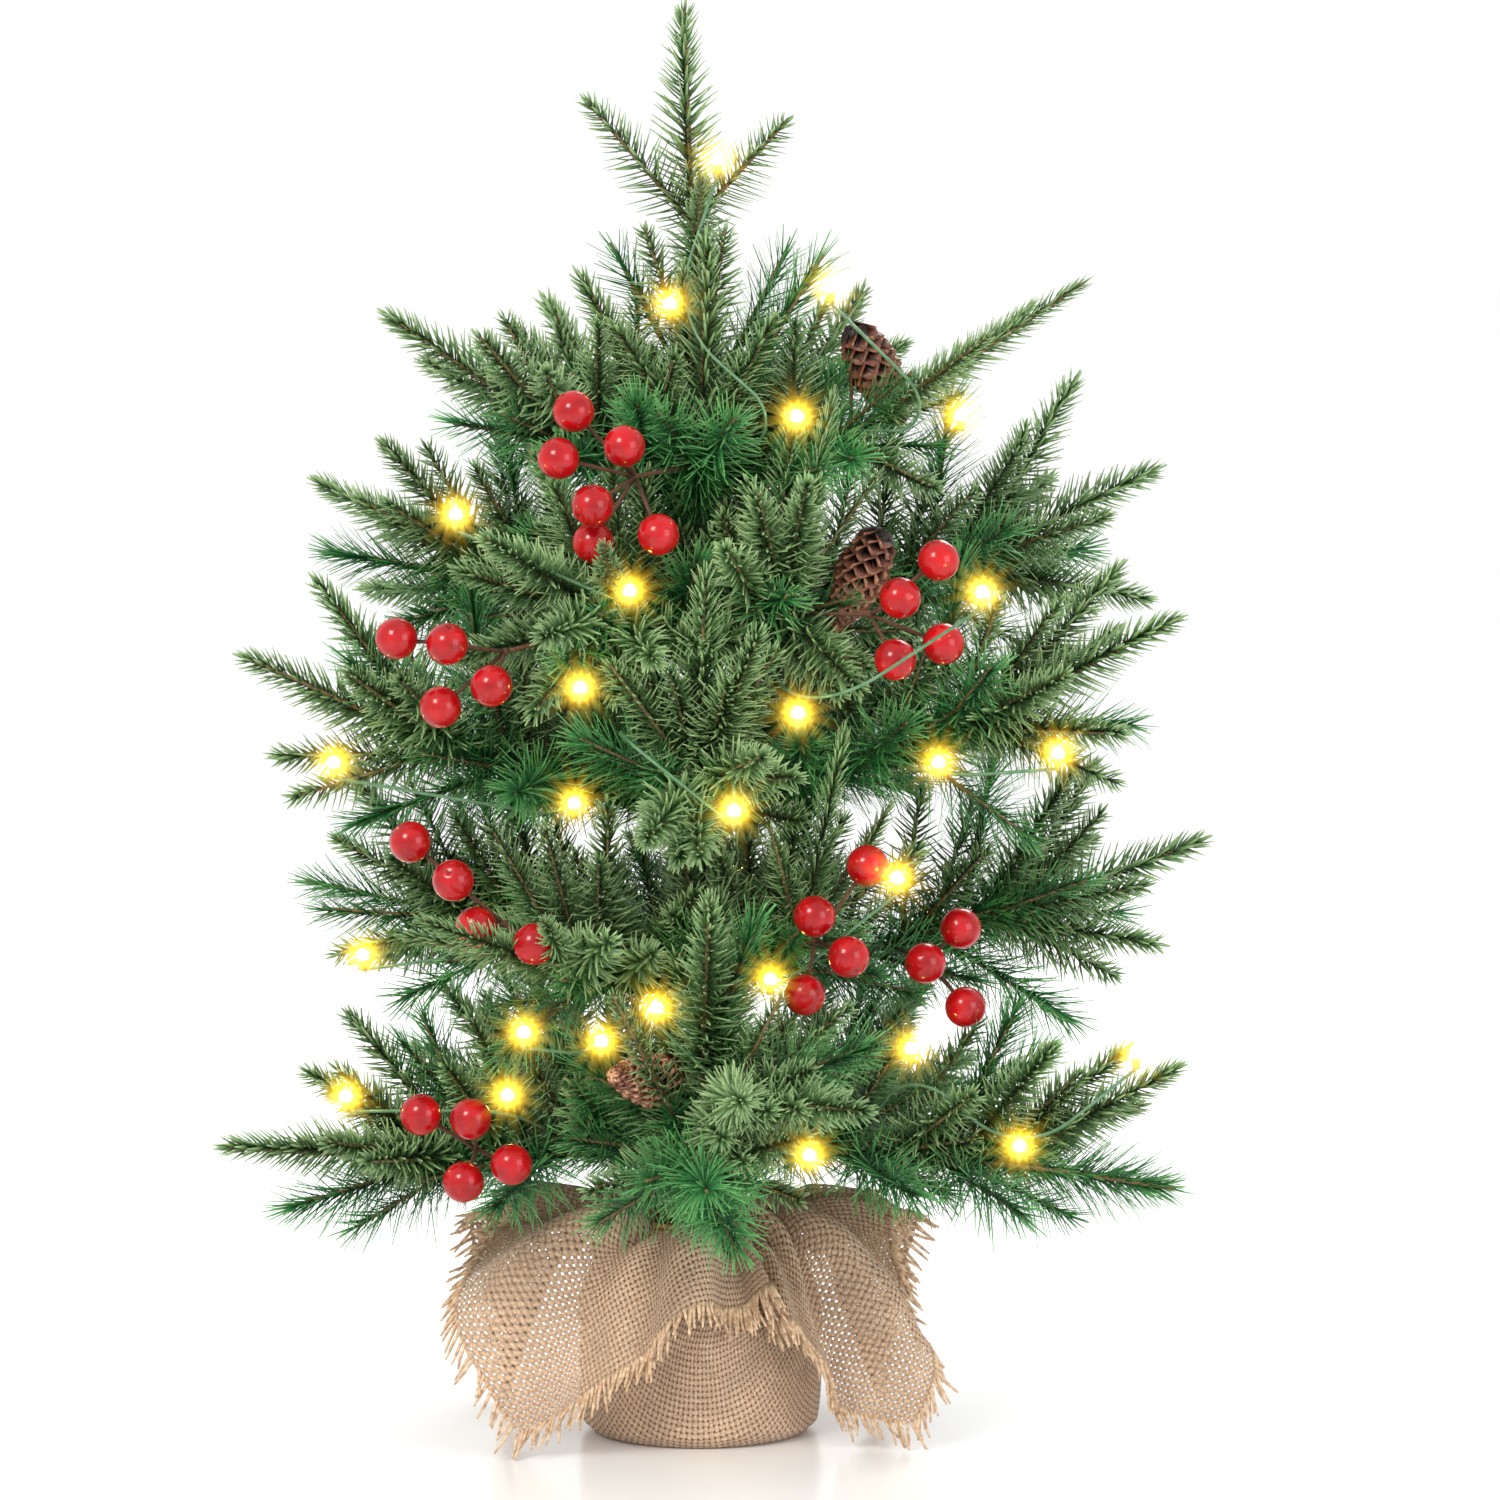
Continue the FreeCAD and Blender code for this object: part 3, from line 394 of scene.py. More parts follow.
def burlap_material():
    """Jute yarns over and under each other, uneven in tone along each yarn, with painted shade in the gaps
    and where a yarn dips under.
    """
    material, tree, shader = finish_named("Jute plain weave", Roughness=0.92, Sheen_Weight=0.12)
    flat = add(tree, "ShaderNodeUVMap", uv_map="flat")
    loose_share = add(tree, "ShaderNodeAttribute", attribute_name="loose")
    where = add(tree, "ShaderNodeTexCoord")
    wander = add(
        tree,
        "ShaderNodeTexNoise",
        links={"Vector": flat.outputs["UV"]},
        values={"Scale": 1 / (14 * MM), "Detail": 2.0},
    )
    shifted = add(
        tree,
        "ShaderNodeVectorMath",
        operation="MULTIPLY_ADD",
        links={0: wander.outputs["Color"], 2: flat.outputs["UV"]},
    )
    shifted.inputs[1].default_value = (0.9 * MM, 0.9 * MM, 0)
    scaled = add(tree, "ShaderNodeVectorMath", operation="SCALE", links={0: shifted.outputs["Vector"]})
    scaled.inputs["Scale"].default_value = math.pi / WEAVE
    axes = add(tree, "ShaderNodeSeparateXYZ", links={"Vector": scaled.outputs["Vector"]})
    waves = []
    for axis in ("X", "Y"):
        sine = add(tree, "ShaderNodeMath", operation="SINE", links={0: axes.outputs[axis]})
        waves.append(sine)
    crests = [
        add(tree, "ShaderNodeMath", operation="ABSOLUTE", links={0: wave.outputs[0]}) for wave in waves
    ]
    # height of the two yarns: each is a ridge, and they take turns to be on top
    both = add(
        tree,
        "ShaderNodeMath",
        operation="MULTIPLY",
        links={0: waves[0].outputs[0], 1: waves[1].outputs[0]},
    )
    turn = add(
        tree,
        "ShaderNodeMapRange",
        links={"Value": both.outputs[0]},
        values={"From Min": -0.4, "From Max": 0.4, "To Min": 0.0, "To Max": 1.0},
    )
    over = add(
        tree,
        "ShaderNodeMix",
        data_type="FLOAT",
        links={"Factor": turn.outputs["Result"], "A": crests[0].outputs[0], "B": crests[1].outputs[0]},
    )
    highest = add(
        tree,
        "ShaderNodeMath",
        operation="MAXIMUM",
        links={0: crests[0].outputs[0], 1: crests[1].outputs[0]},
    )
    gap = add(
        tree,
        "ShaderNodeMapRange",
        links={"Value": highest.outputs[0]},
        values={"From Min": 0.42, "From Max": 0.62, "To Min": 0.0, "To Max": 1.0},
    )
    fibre = add(
        tree,
        "ShaderNodeTexNoise",
        links={"Vector": where.outputs["Object"]},
        values={"Scale": 1 / (1.1 * MM), "Detail": 4.0, "Roughness": 0.7},
    )
    patch = add(
        tree,
        "ShaderNodeTexNoise",
        links={"Vector": where.outputs["Object"]},
        values={"Scale": 1 / (26 * MM), "Detail": 2.0},
    )
    yarn = add(tree, "ShaderNodeValToRGB", links={"Fac": fibre.outputs["Fac"]})
    yarn.color_ramp.elements[0].position = 0.3
    yarn.color_ramp.elements[0].color = linear("a67f60")
    yarn.color_ramp.elements[1].position = 0.72
    yarn.color_ramp.elements[1].color = linear("e6cbae")
    warm = add(
        tree,
        "ShaderNodeMapRange",
        links={"Value": patch.outputs["Fac"]},
        values={"From Min": 0.3, "From Max": 0.7, "To Min": 0.84, "To Max": 1.1},
    )
    # Painted shade: the colour follows the yarn height, darkened to 0.55 where a yarn dips under its
    # neighbour.
    crown = add(
        tree,
        "ShaderNodeMapRange",
        links={"Value": over.outputs["Result"]},
        values={"From Min": 0.0, "From Max": 1.0, "To Min": 0.55, "To Max": 1.05},
    )
    depth = add(
        tree,
        "ShaderNodeMath",
        operation="MULTIPLY",
        links={0: warm.outputs["Result"], 1: crown.outputs["Result"]},
    )
    toned = add(
        tree,
        "ShaderNodeMix",
        data_type="RGBA",
        blend_type="MULTIPLY",
        links={"A": yarn.outputs["Color"], "B": depth.outputs[0]},
        values={"Factor": 1.0},
    )
    # Painted shade: the gaps between the yarns are painted dark brown (5e4433) for the shade seen through the
    # weave.
    gap_painted_shade = add(
        tree,
        "ShaderNodeMix",
        data_type="RGBA",
        links={"Factor": gap.outputs["Result"], "B": toned.outputs["Result"]},
    )
    gap_painted_shade.inputs["A"].default_value = linear("5e4433")
    tree.links.new(gap_painted_shade.outputs["Result"], shader.inputs["Base Color"])
    closed = add(tree, "ShaderNodeMath", operation="SUBTRACT", links={1: loose_share.outputs["Fac"]})
    closed.inputs[0].default_value = 1.0
    solid = add(
        tree,
        "ShaderNodeMath",
        operation="MAXIMUM",
        links={0: gap.outputs["Result"], 1: closed.outputs[0]},
    )
    tree.links.new(solid.outputs[0], shader.inputs["Alpha"])
    raised = add(
        tree,
        "ShaderNodeBump",
        links={"Height": over.outputs["Result"]},
        values={"Strength": 0.9, "Distance": 0.6 * MM},
    )
    tree.links.new(raised.outputs["Normal"], shader.inputs["Normal"])
    return material


burlap_look = burlap_material()
cloth = finished(cloth_bm, "burlap_cloth", "tree_stand", burlap_look)
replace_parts(cloth, "burlap_wrap")

def lay_rod(bm, start, end, thick, thin, segments=7):
    """A thin round rod from start to end."""
    run = end - start
    place = Matrix.Translation((start + end) / 2) @ run.to_track_quat("Z", "Y").to_matrix().to_4x4()
    bmesh.ops.create_cone(
        bm, cap_ends=True, segments=segments, radius1=thick, radius2=thin, depth=run.length, matrix=place
    )


def any_way():
    """A random vector, up to one along each axis."""
    return Vector([RANDOM.uniform(-1, 1) for _ in range(3)])


# Loose yarn ends stand out all along the cut edge, in bundles thick enough to be seen.
fringe_bm = bmesh.new()
FRINGE_COUNT = 640
FRINGE_LONG = (8 * MM, 12.5 * MM)
FRINGE_BEND = 2.2 * MM
FRINGE_RADII = (0.85 * MM, 0.75 * MM, 0.45 * MM)
FRINGE_DROOP = Vector((0, 0, -0.12))
for number in range(FRINGE_COUNT):
    share = (number + RANDOM.uniform(-0.3, 0.3)) / FRINGE_COUNT
    side, along = divmod(share * 4, 1)
    angle = 45 + 90 * side + math.degrees(math.atan(2 * along - 1)) + 45
    root = cloth_point(angle, edge_at(angle))
    before = cloth_point(angle, edge_at(angle) - 7 * MM)
    heading = (root - before).normalized()
    heading = (heading + any_way() * 0.24 + FRINGE_DROOP).normalized()
    long = RANDOM.uniform(*FRINGE_LONG)
    bend = any_way() * FRINGE_BEND
    knots = [
        root - heading * 1.5 * MM,
        root + heading * long * 0.5 + bend * 0.4,
        root + heading * long + bend,
    ]
    for knot in knots:
        knot.z = max(knot.z, 0.8 * MM)
    for start, end, thick, thin in zip(knots, knots[1:], FRINGE_RADII, FRINGE_RADII[1:]):
        lay_rod(fringe_bm, start, end, thick, thin, segments=5)
yarn_look = speckled("Frayed jute yarn", "b8906c", "ecd3b3", 2.0, 0.92, bump=0.1, bump_mm=0.6)
fringe = finished(fringe_bm, "burlap_fringe", "tree_stand", yarn_look)

# The tie is three turns of brown jute twine, kept as the frame has it.
shown_as("twine_tie", speckled("Jute twine", "7f5c38", "b08a5c", 1.4, 0.95, bump=0.3, bump_mm=0.8))

# ---------------------------------------------------------------- needles and twigs
# Each branch is a green-brown wire with tips twisted on. A moulded tip has stiff, blunt, slightly
# flat polyethylene needles, grey-green with pale ends. A film tip is cut vinyl film twisted into a
# wire: straight, thin, glossier ribbons of a brighter green.

# The colour of both kinds is darker at each needle's foot as painted shade, and paler at its end partly as
# painted highlight.
TIP_LONG = 100 * MM
VARIANTS = 6
# A tip shorter than this carries a smaller share of the needles, so that it is no denser.
SHORT_TIP = 78 * MM
SHORT_SHARE = 0.62
TIP_BEND = 6 * MM
NEEDLES = {
    # length, half width and half thickness (mm), needles on 100 mm, lean from the twig (deg)
    "moulded": (18.0, 0.76, 0.42, 200, (64, 36)),
    "film": (27.0, 0.70, 0.15, 240, (60, 30)),
}
# The thin end of a wire's core and of a moulded tip's core are less than these.
WIRE_END = 1.6 * MM
MOULDED_END = 2.2 * MM


def parted(bm):
    """The faces of each separate solid in a merged copy of a frame node's mesh."""
    seen, found = set(), []
    for first in bm.faces:
        if first in seen:
            continue
        seen.add(first)
        solid, waiting = [], [first]
        while waiting:
            face = waiting.pop()
            solid.append(face)
            for edge in face.edges:
                if len(edge.link_faces) == 2:
                    for other in edge.link_faces:
                        if other not in seen:
                            seen.add(other)
                            waiting.append(other)
        found.append(solid)
    return found


def merged_copy(name):
    """A frame node's mesh in a bmesh, with its loose triangles joined."""
    bm = bmesh.new()
    bm.from_mesh(frame["nodes"][name].data)
    bmesh.ops.remove_doubles(bm, verts=bm.verts, dist=0.001 * MM)
    return bm


def corners_of(faces):
    """The corner points of some faces as an array."""
    return np.array([vert.co[:] for vert in {vert for face in faces for vert in face.verts}])


def solids_of(name):
    """The separate solids of a frame node, each as an array of its corner points."""
    bm = merged_copy(name)
    found = [corners_of(faces) for faces in parted(bm) if len(faces) > 7]
    bm.free()
    return found


def line_of(points):
    """The middle line of a long solid: its thicker end, its thinner end and their radii."""
    middle = (points.min(0) + points.max(0)) / 2
    along = np.linalg.svd(points - points.mean(0), full_matrices=False)[2][0]
    reach = (points - middle) @ along
    ends = []
    for edge in (reach.min(), reach.max()):
        rim = points[np.abs(reach - edge) < 0.02 * (reach.max() - reach.min()) + 0.01 * MM]
        off = rim - rim.mean(0)
        off = off - np.outer(off @ along, along)
        ends.append((float(np.linalg.norm(off, axis=1).max()), Vector(rim.mean(0))))
    ends.sort(key=lambda end: -end[0])
    return ends[0][1], ends[1][1], ends[0][0], ends[1][0]


def one_needle(kind):
    """A needle along +z: a flattened spindle, bent a little, with its share along it stored."""
    long, wide, thick, _, _ = NEEDLES[kind]
    bm = bmesh.new()
    bmesh.ops.create_cone(
        bm, cap_ends=True, segments=4 if kind == "moulded" else 3, radius1=0.8, radius2=0.3, depth=1
    )
    if kind == "moulded":
        sides = [edge for edge in bm.edges if abs(edge.verts[0].co.z - edge.verts[1].co.z) > 0.5]
        bmesh.ops.subdivide_edges(bm, edges=sides, cuts=1)
    share = bm.verts.layers.float.new("along")
    for vert in bm.verts:
        up = vert.co.z + 0.5
        belly = 1.0 + 0.8 * math.sin(math.pi * up)
        vert[share] = up
        vert.co.x *= belly * wide * MM
        vert.co.y = vert.co.y * belly * thick * MM + 0.07 * long * MM * up * up
        vert.co.z = up * long * MM
    mesh = bpy.data.meshes.new(f"needle_{kind}")
    bm.to_mesh(mesh)
    bm.free()
    return mesh


def whole_tip(kind, number, fullness):
    """A tip along +z from the origin: its needles, set round the twig in a spiral."""
    needle = one_needle(kind)
    _, _, _, count, (low_lean, high_lean) = NEEDLES[kind]
    count = round(count * fullness)
    bm = bmesh.new()
    bm.verts.layers.float.new("along")
    turn = RANDOM.uniform(0, math.tau)
    for step in range(count):
        share = min(1.0, max(0.0, (step + RANDOM.uniform(-0.4, 0.4)) / count))
        turn += math.radians(137.5) + RANDOM.uniform(-0.35, 0.35)
        lean = math.radians(low_lean + (high_lean - low_lean) * share**2.2 + RANDOM.uniform(-9, 9))
        if kind == "moulded":
            swell = 0.76 + 0.3 * math.sin(math.pi * min(1, share * 1.25 + 0.12))
            long = swell * (1 - 0.4 * share**5) * RANDOM.uniform(0.92, 1.06)
        else:
            long = (1 - 0.36 * share**3) * RANDOM.uniform(0.76, 1.1)
        if share > 0.985:
            lean *= 0.4
        place = (
            Matrix.Translation((0, 0, share * TIP_LONG * (0.93 if kind == "moulded" else 0.88)))
            @ Matrix.Rotation(turn, 4, "Z")
            @ Matrix.Rotation(lean, 4, "X")
            @ Matrix.Rotation(RANDOM.uniform(-0.5, 0.5), 4, "Z")
            @ Matrix.Diagonal((1, 1, long, 1))
        )
        first = len(bm.verts)
        bm.from_mesh(needle)
        bm.verts.ensure_lookup_table()
        bmesh.ops.transform(bm, matrix=place, verts=bm.verts[first:])
    mesh = bpy.data.meshes.new(f"tip_{kind}_{number}")
    bm.to_mesh(mesh)
    bm.free()
    return mesh


LONG_TIPS = {kind: [whole_tip(kind, number, 1.0) for number in range(VARIANTS)] for kind in NEEDLES}
SHORT_TIPS = {
    kind: [whole_tip(kind, number, SHORT_SHARE) for number in range(VARIANTS)] for kind in NEEDLES
}


def lay_tip(bm, kind, root, end, spread=1.0):
    """Lays a tip from root to end, with a slight natural bend, into a growing bmesh."""
    run = end - root
    source = RANDOM.choice((SHORT_TIPS if run.length < SHORT_TIP else LONG_TIPS)[kind])
    flat = np.empty(len(source.vertices) * 3)
    source.vertices.foreach_get("co", flat)
    points = flat.reshape(-1, 3)
    points[:, 2] *= run.length / TIP_LONG
    points[:, :2] *= spread
    share = np.clip(points[:, 2] / run.length, 0, 1)
    for axis in (0, 1):
        points[:, axis] += RANDOM.uniform(-1, 1) * TIP_BEND * share * (1 - share)
    spin = Matrix.Rotation(RANDOM.uniform(0, math.tau), 3, "Z")
    turn = run.to_track_quat("Z", "Y").to_matrix() @ spin
    copy = source.copy()
    copy.vertices.foreach_set("co", (points @ np.array(turn).T + np.array(root)).ravel())
    bm.from_mesh(copy)
    bpy.data.meshes.remove(copy)


def needle_finish(name, foot, middle, tip, roughness, patch_mm):
    """Moulded or cut plastic with older patches: painted shade darkens each needle's foot, and its pale end
    is partly its own colour and partly painted highlight.
    """
    material, tree, shader = finish_named(name, Roughness=roughness, Specular_IOR_Level=0.3)
    where = add(tree, "ShaderNodeTexCoord")
    share = add(tree, "ShaderNodeAttribute", attribute_name="along")
    # Painted shade and highlight: this ramp along the needle darkens its foot and lightens its end.
    run = add(tree, "ShaderNodeValToRGB", links={"Fac": share.outputs["Fac"]})
    run.color_ramp.elements[0].color = linear(foot)
    run.color_ramp.elements[1].color = linear(tip)
    run.color_ramp.elements.new(0.4).color = linear(middle)
    levels = []
    for size_mm, low, high in ((patch_mm, 0.72, 1.22), (patch_mm * 7, 0.8, 1.16)):
        patches = add(
            tree,
            "ShaderNodeTexNoise",
            links={"Vector": where.outputs["Object"]},
            values={"Scale": 1 / (size_mm * MM), "Detail": 3.0, "Roughness": 0.6},
        )
        levels.append(
            add(
                tree,
                "ShaderNodeMapRange",
                links={"Value": patches.outputs["Fac"]},
                values={"From Min": 0.3, "From Max": 0.7, "To Min": low, "To Max": high},
            )
        )
    level = add(
        tree,
        "ShaderNodeMath",
        operation="MULTIPLY",
        links={0: levels[0].outputs["Result"], 1: levels[1].outputs["Result"]},
    )
    shade = add(
        tree,
        "ShaderNodeMix",
        data_type="RGBA",
        blend_type="MULTIPLY",
        links={"A": run.outputs["Color"], "B": level.outputs[0]},
        values={"Factor": 1.0},
    )
    tree.links.new(shade.outputs["Result"], shader.inputs["Base Color"])
    return material


NEEDLE_LOOKS = {
    "moulded": needle_finish("Moulded polyethylene needle", "27401f", "557a46", "98b47d", 0.46, 8),
    "film": needle_finish("Cut vinyl film needle", "123d1f", "2b7238", "6aa962", 0.4, 6),
    "twigs": speckled("Paper-wound twig wire", "45401f", "7f6c42", 1.6, 0.7),
}
# Extra tips twisted on along the wire fill each branch: share of the wire, yaw, pitch, length.
FILLERS = (
    (0.06, 24, 66, 66, "film"),
    (0.10, -36, 48, 70, "moulded"),
    (0.20, 46, 26, 74, "film"),
    (0.26, -56, 18, 72, "film"),
    (0.34, 60, 40, 64, "moulded"),
    (0.40, -14, 56, 62, "moulded"),
    (0.46, -50, -14, 66, "film"),
    (0.54, 52, -16, 64, "film"),
    (0.62, -38, 38, 66, "moulded"),
    (0.70, 34, 44, 66, "moulded"),
    (0.78, -48, 10, 70, "film"),
    (0.84, 14, -26, 64, "film"),
    (0.90, 46, 14, 72, "moulded"),
    (0.94, -8, 38, 70, "moulded"),
)
# Longer tips at the outer end of the hinged branches rise and droop between the tiers.
OUTER_FILLERS = (
    (0.98, 14, 35, 88, "moulded"),
    (0.90, -20, -27, 84, "moulded"),
    (0.86, -34, 46, 80, "moulded"),
    (0.96, 24, -14, 78, "film"),
    (0.70, -10, -44, 78, "film"),
    (0.60, 28, 58, 80, "moulded"),
    (0.80, 8, 60, 84, "film"),
    (0.94, 2, -38, 74, "moulded"),
)
LOWEST_TIP = 92 * MM
# The radii of a wire, of a filler's twig and of a main tip's twig, at the foot and at the end.
WIRE_RADII = (1.3 * MM, 1.1 * MM)
FILLER_RADII = (0.9 * MM, 0.6 * MM)
TIP_RADII = (1.1 * MM, 0.7 * MM)
# The film needles along a bare wire lie a little closer to it.
WIRE_SPREAD = 0.85
SHORTEST_FILLED = 40 * MM
FRONT_MOULDED_SHARE = 0.6
# A tip that has to pass in front of an ornament has its needles pressed closer to its twig.
PRESSED = 0.62
# How far a filler tip keeps from the middle of an ornament that it would hide: mm by kind.
CLEAR_OF = {"_cone": 27, "_berries": 17, "_lights": 11}
ORNAMENT_LEAST = 4.5 * MM
ORNAMENT_MOST = 60 * MM
JUST_BEHIND = 6 * MM
LOOKS_ALONG = 8
members_of = frame["record"]["behaviour"]["bodies"]
ORNAMENTS = []
for node_name in sorted(frame["nodes"]):
    for ending, clear_mm in CLEAR_OF.items():
        if node_name.endswith(ending):
            for points in solids_of(node_name):
                spans = points.max(0) - points.min(0)
                chunky = spans.min() > 0.3 * spans.max()
                if chunky and spans.min() > ORNAMENT_LEAST and spans.max() < ORNAMENT_MOST:
                    ORNAMENTS.append((Vector((points.max(0) + points.min(0)) / 2), clear_mm * MM))


def hides(foot, top):
    """Whether a tip from foot to top would stand in front of an ornament, seen from outside."""
    for middle, clear in ORNAMENTS:
        outwards = Vector((0, -1, 0)) if middle.y < 0 else Vector((middle.x, middle.y, 0)).normalized()
        for step in range(1, LOOKS_ALONG + 1):
            off = foot.lerp(top, step / LOOKS_ALONG) - middle
            ahead = off.dot(outwards)
            if ahead > -JUST_BEHIND and (off - ahead * outwards).length < clear:
                return True
    return False


def foliage(cad_name, body):
    """The needles and twigs that stand for one frame node of tips on wires."""
    grown = {kind: bmesh.new() for kind in NEEDLE_LOOKS}
    for kind in NEEDLES:
        grown[kind].verts.layers.float.new("along")
    for points in solids_of(cad_name):
        root, end, thick, thin = line_of(points)
        if thin < WIRE_END:
            if math.hypot(root.x, root.y) > math.hypot(end.x, end.y):
                root, end = end, root
            lay_rod(grown["twigs"], root, end, *WIRE_RADII)
            lay_tip(grown["film"], "film", root.lerp(end, 0.1), end, spread=WIRE_SPREAD)
            out = (end - root).normalized()
            aside = Vector((0, 0, 1)).cross(out).normalized()
            above = out.cross(aside)
            if (end - root).length < SHORTEST_FILLED or cad_name == "leader":
                continue
            hinged = cad_name.endswith("_branch")
            for share, yaw, pitch, long, kind in FILLERS + (OUTER_FILLERS if hinged else ()):
                yaw = math.radians(yaw + RANDOM.uniform(-10, 10))
                pitch = math.radians(pitch + RANDOM.uniform(-9, 9))
                if "front" in cad_name and RANDOM.random() < FRONT_MOULDED_SHARE:
                    kind = "moulded"
                foot = root.lerp(end, share)
                for sign in (1, -1):
                    level = math.cos(pitch) * (math.cos(yaw) * out + math.sin(yaw) * aside)
                    heading = level + sign * math.sin(pitch) * above
                    top = foot + heading * long * MM * RANDOM.uniform(0.88, 1.1)
                    if top.z > LOWEST_TIP and not hides(foot, top):
                        break
                else:
                    continue
                lay_rod(grown["twigs"], foot, foot.lerp(top, 0.9), *FILLER_RADII, segments=5)
                lay_tip(grown[kind], kind, foot, top)
        else:
            kind = "moulded" if thin < MOULDED_END else "film"
            lay_rod(grown["twigs"], root, root.lerp(end, 0.95), *TIP_RADII)
            lay_tip(grown[kind], kind, root, end, spread=PRESSED if hides(root, end) else 1.0)
    for kind, bm in grown.items():
        if len(bm.verts):
            look = NEEDLE_LOOKS[kind]
            piece = finished(bm, f"{cad_name}_{kind}", body, look, smooth=kind != "film")
            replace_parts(piece, cad_name)
        else:
            bm.free()


for body in sorted(members_of):
    for member in members_of[body]:
        if member.endswith("_branch") or member in ("crown_twigs", "leader"):
            foliage(member, body)

# ---------------------------------------------------------------- berry picks
# A berry is a foam ball dipped in red gloss lacquer, with a small dimple at the blossom end that is darkened
# with painted shade.
# Each sits on a paper-wound brown wire, and the wires of a pick are twisted together at a hub.

BERRY_LEAST = 6 * MM
STALK_LEAST = 3.5 * MM
HUB_RADIUS = 1.8 * MM
STALK_RADII = (0.95 * MM, 0.8 * MM)


def berry_finish():
    """Thick red lacquer: a clear hard gloss over a red that is painted darker round the dimple, as shade."""
    material, tree, shader = finish_named(
        "Red dipped lacquer",
        Roughness=0.22,
        Specular_IOR_Level=0.3,
        Coat_Weight=0.2,
        Coat_Roughness=0.04,
    )
    depth = add(tree, "ShaderNodeAttribute", attribute_name="dimple")
    where = add(tree, "ShaderNodeTexCoord")
    cloud = add(
        tree,
        "ShaderNodeTexNoise",
        links={"Vector": where.outputs["Object"]},
        values={"Scale": 1 / (9 * MM), "Detail": 2.0},
    )
    skin = add(tree, "ShaderNodeValToRGB", links={"Fac": cloud.outputs["Fac"]})
    skin.color_ramp.elements[0].position = 0.3
    skin.color_ramp.elements[0].color = linear("8f060c")
    skin.color_ramp.elements[1].position = 0.75
    skin.color_ramp.elements[1].color = linear("c00f17")
    # Painted shade: the hollow of the dimple is painted near-black brown (2a0705).
    dimple_painted_shade = add(
        tree,
        "ShaderNodeMix",
        data_type="RGBA",
        links={"Factor": depth.outputs["Fac"], "A": skin.outputs["Color"]},
    )
    dimple_painted_shade.inputs["B"].default_value = linear("2a0705")
    tree.links.new(dimple_painted_shade.outputs["Result"], shader.inputs["Base Color"])
    return material


berry_look = berry_finish()
stalk_look = speckled("Brown paper-wound wire", "3b2417", "6d472e", 1.2, 0.75, bump=0.15, bump_mm=0.8)


def berries_of(cad_name, body):
    """Lacquered balls and wound stalks for one frame node of berries."""
    balls, stalks = bmesh.new(), bmesh.new()
    dimple = balls.verts.layers.float.new("dimple")
    places = []
    for points in solids_of(cad_name):
        spans = points.max(0) - points.min(0)
        middle = Vector((points.max(0) + points.min(0)) / 2)
        if spans.min() > BERRY_LEAST and spans.max() < 1.1 * spans.min():
            places.append((middle, spans.max() / 2))
        elif spans.max() > STALK_LEAST:
            start, end, _, _ = line_of(points)
            lay_rod(stalks, start, end, *STALK_RADII)
        else:
            bmesh.ops.create_icosphere(
                stalks, subdivisions=2, radius=HUB_RADIUS, matrix=Matrix.Translation(middle)
            )
    hub = sum((place for place, _ in places), Vector()) / len(places)
    for place, radius in places:
        away = (place - hub).normalized() + Vector([RANDOM.uniform(-0.5, 0.5) for _ in range(3)])
        made = bmesh.ops.create_uvsphere(balls, u_segments=32, v_segments=22, radius=radius)["verts"]
        for vert in made:
            off = vert.co.xy.length / radius
            deep = math.exp(-((off / 0.14) ** 2)) if vert.co.z > 0 else 0.0
            vert.co.z -= 0.10 * radius * deep
            # The share of painted shade in the dimple's hollow, strongest at its middle.
            vert[dimple] = min(1.0, math.exp(-((off / 0.07) ** 2)) if vert.co.z > 0 else 0.0)
        turn = away.to_track_quat("Z", "Y").to_matrix().to_4x4()
        bmesh.ops.transform(balls, matrix=Matrix.Translation(place) @ turn, verts=made)
    for bm, word, look in ((balls, "balls", berry_look), (stalks, "stalks", stalk_look)):
        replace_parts(finished(bm, f"{cad_name}_{word}", body, look), cad_name)


for body in sorted(members_of):
    for member in members_of[body]:
        if member.endswith("_berries"):
            berries_of(member, body)

# ---------------------------------------------------------------- pine cones
# A small dried pine cone: woody scales on a spiral round a core, each thin at its root and thick at its
# lip, red-brown with a paler boss. Each scale is painted near black towards its root and on its inner
# face as shade between the scales, and pale along its lip partly as painted highlight. A wire ties it to its
# branch.

SCALES = 112
CONE_WIDE = 19.5 * MM
CORE_RADII = (0.26 * CONE_WIDE, 0.14 * CONE_WIDE)
SCALE_LENGTH = 0.86
TIE_RADIUS = 0.8 * MM
# The raised boss on a scale's lip, and the height from which it is coloured paler, partly as painted
# highlight.
BOSS = 0.9 * MM
BOSS_SHOWS = 0.4 * MM
CONE_SWELL = ((0, 0.62), (0.22, 1.0), (0.55, 0.88), (0.85, 0.52), (1, 0.3))


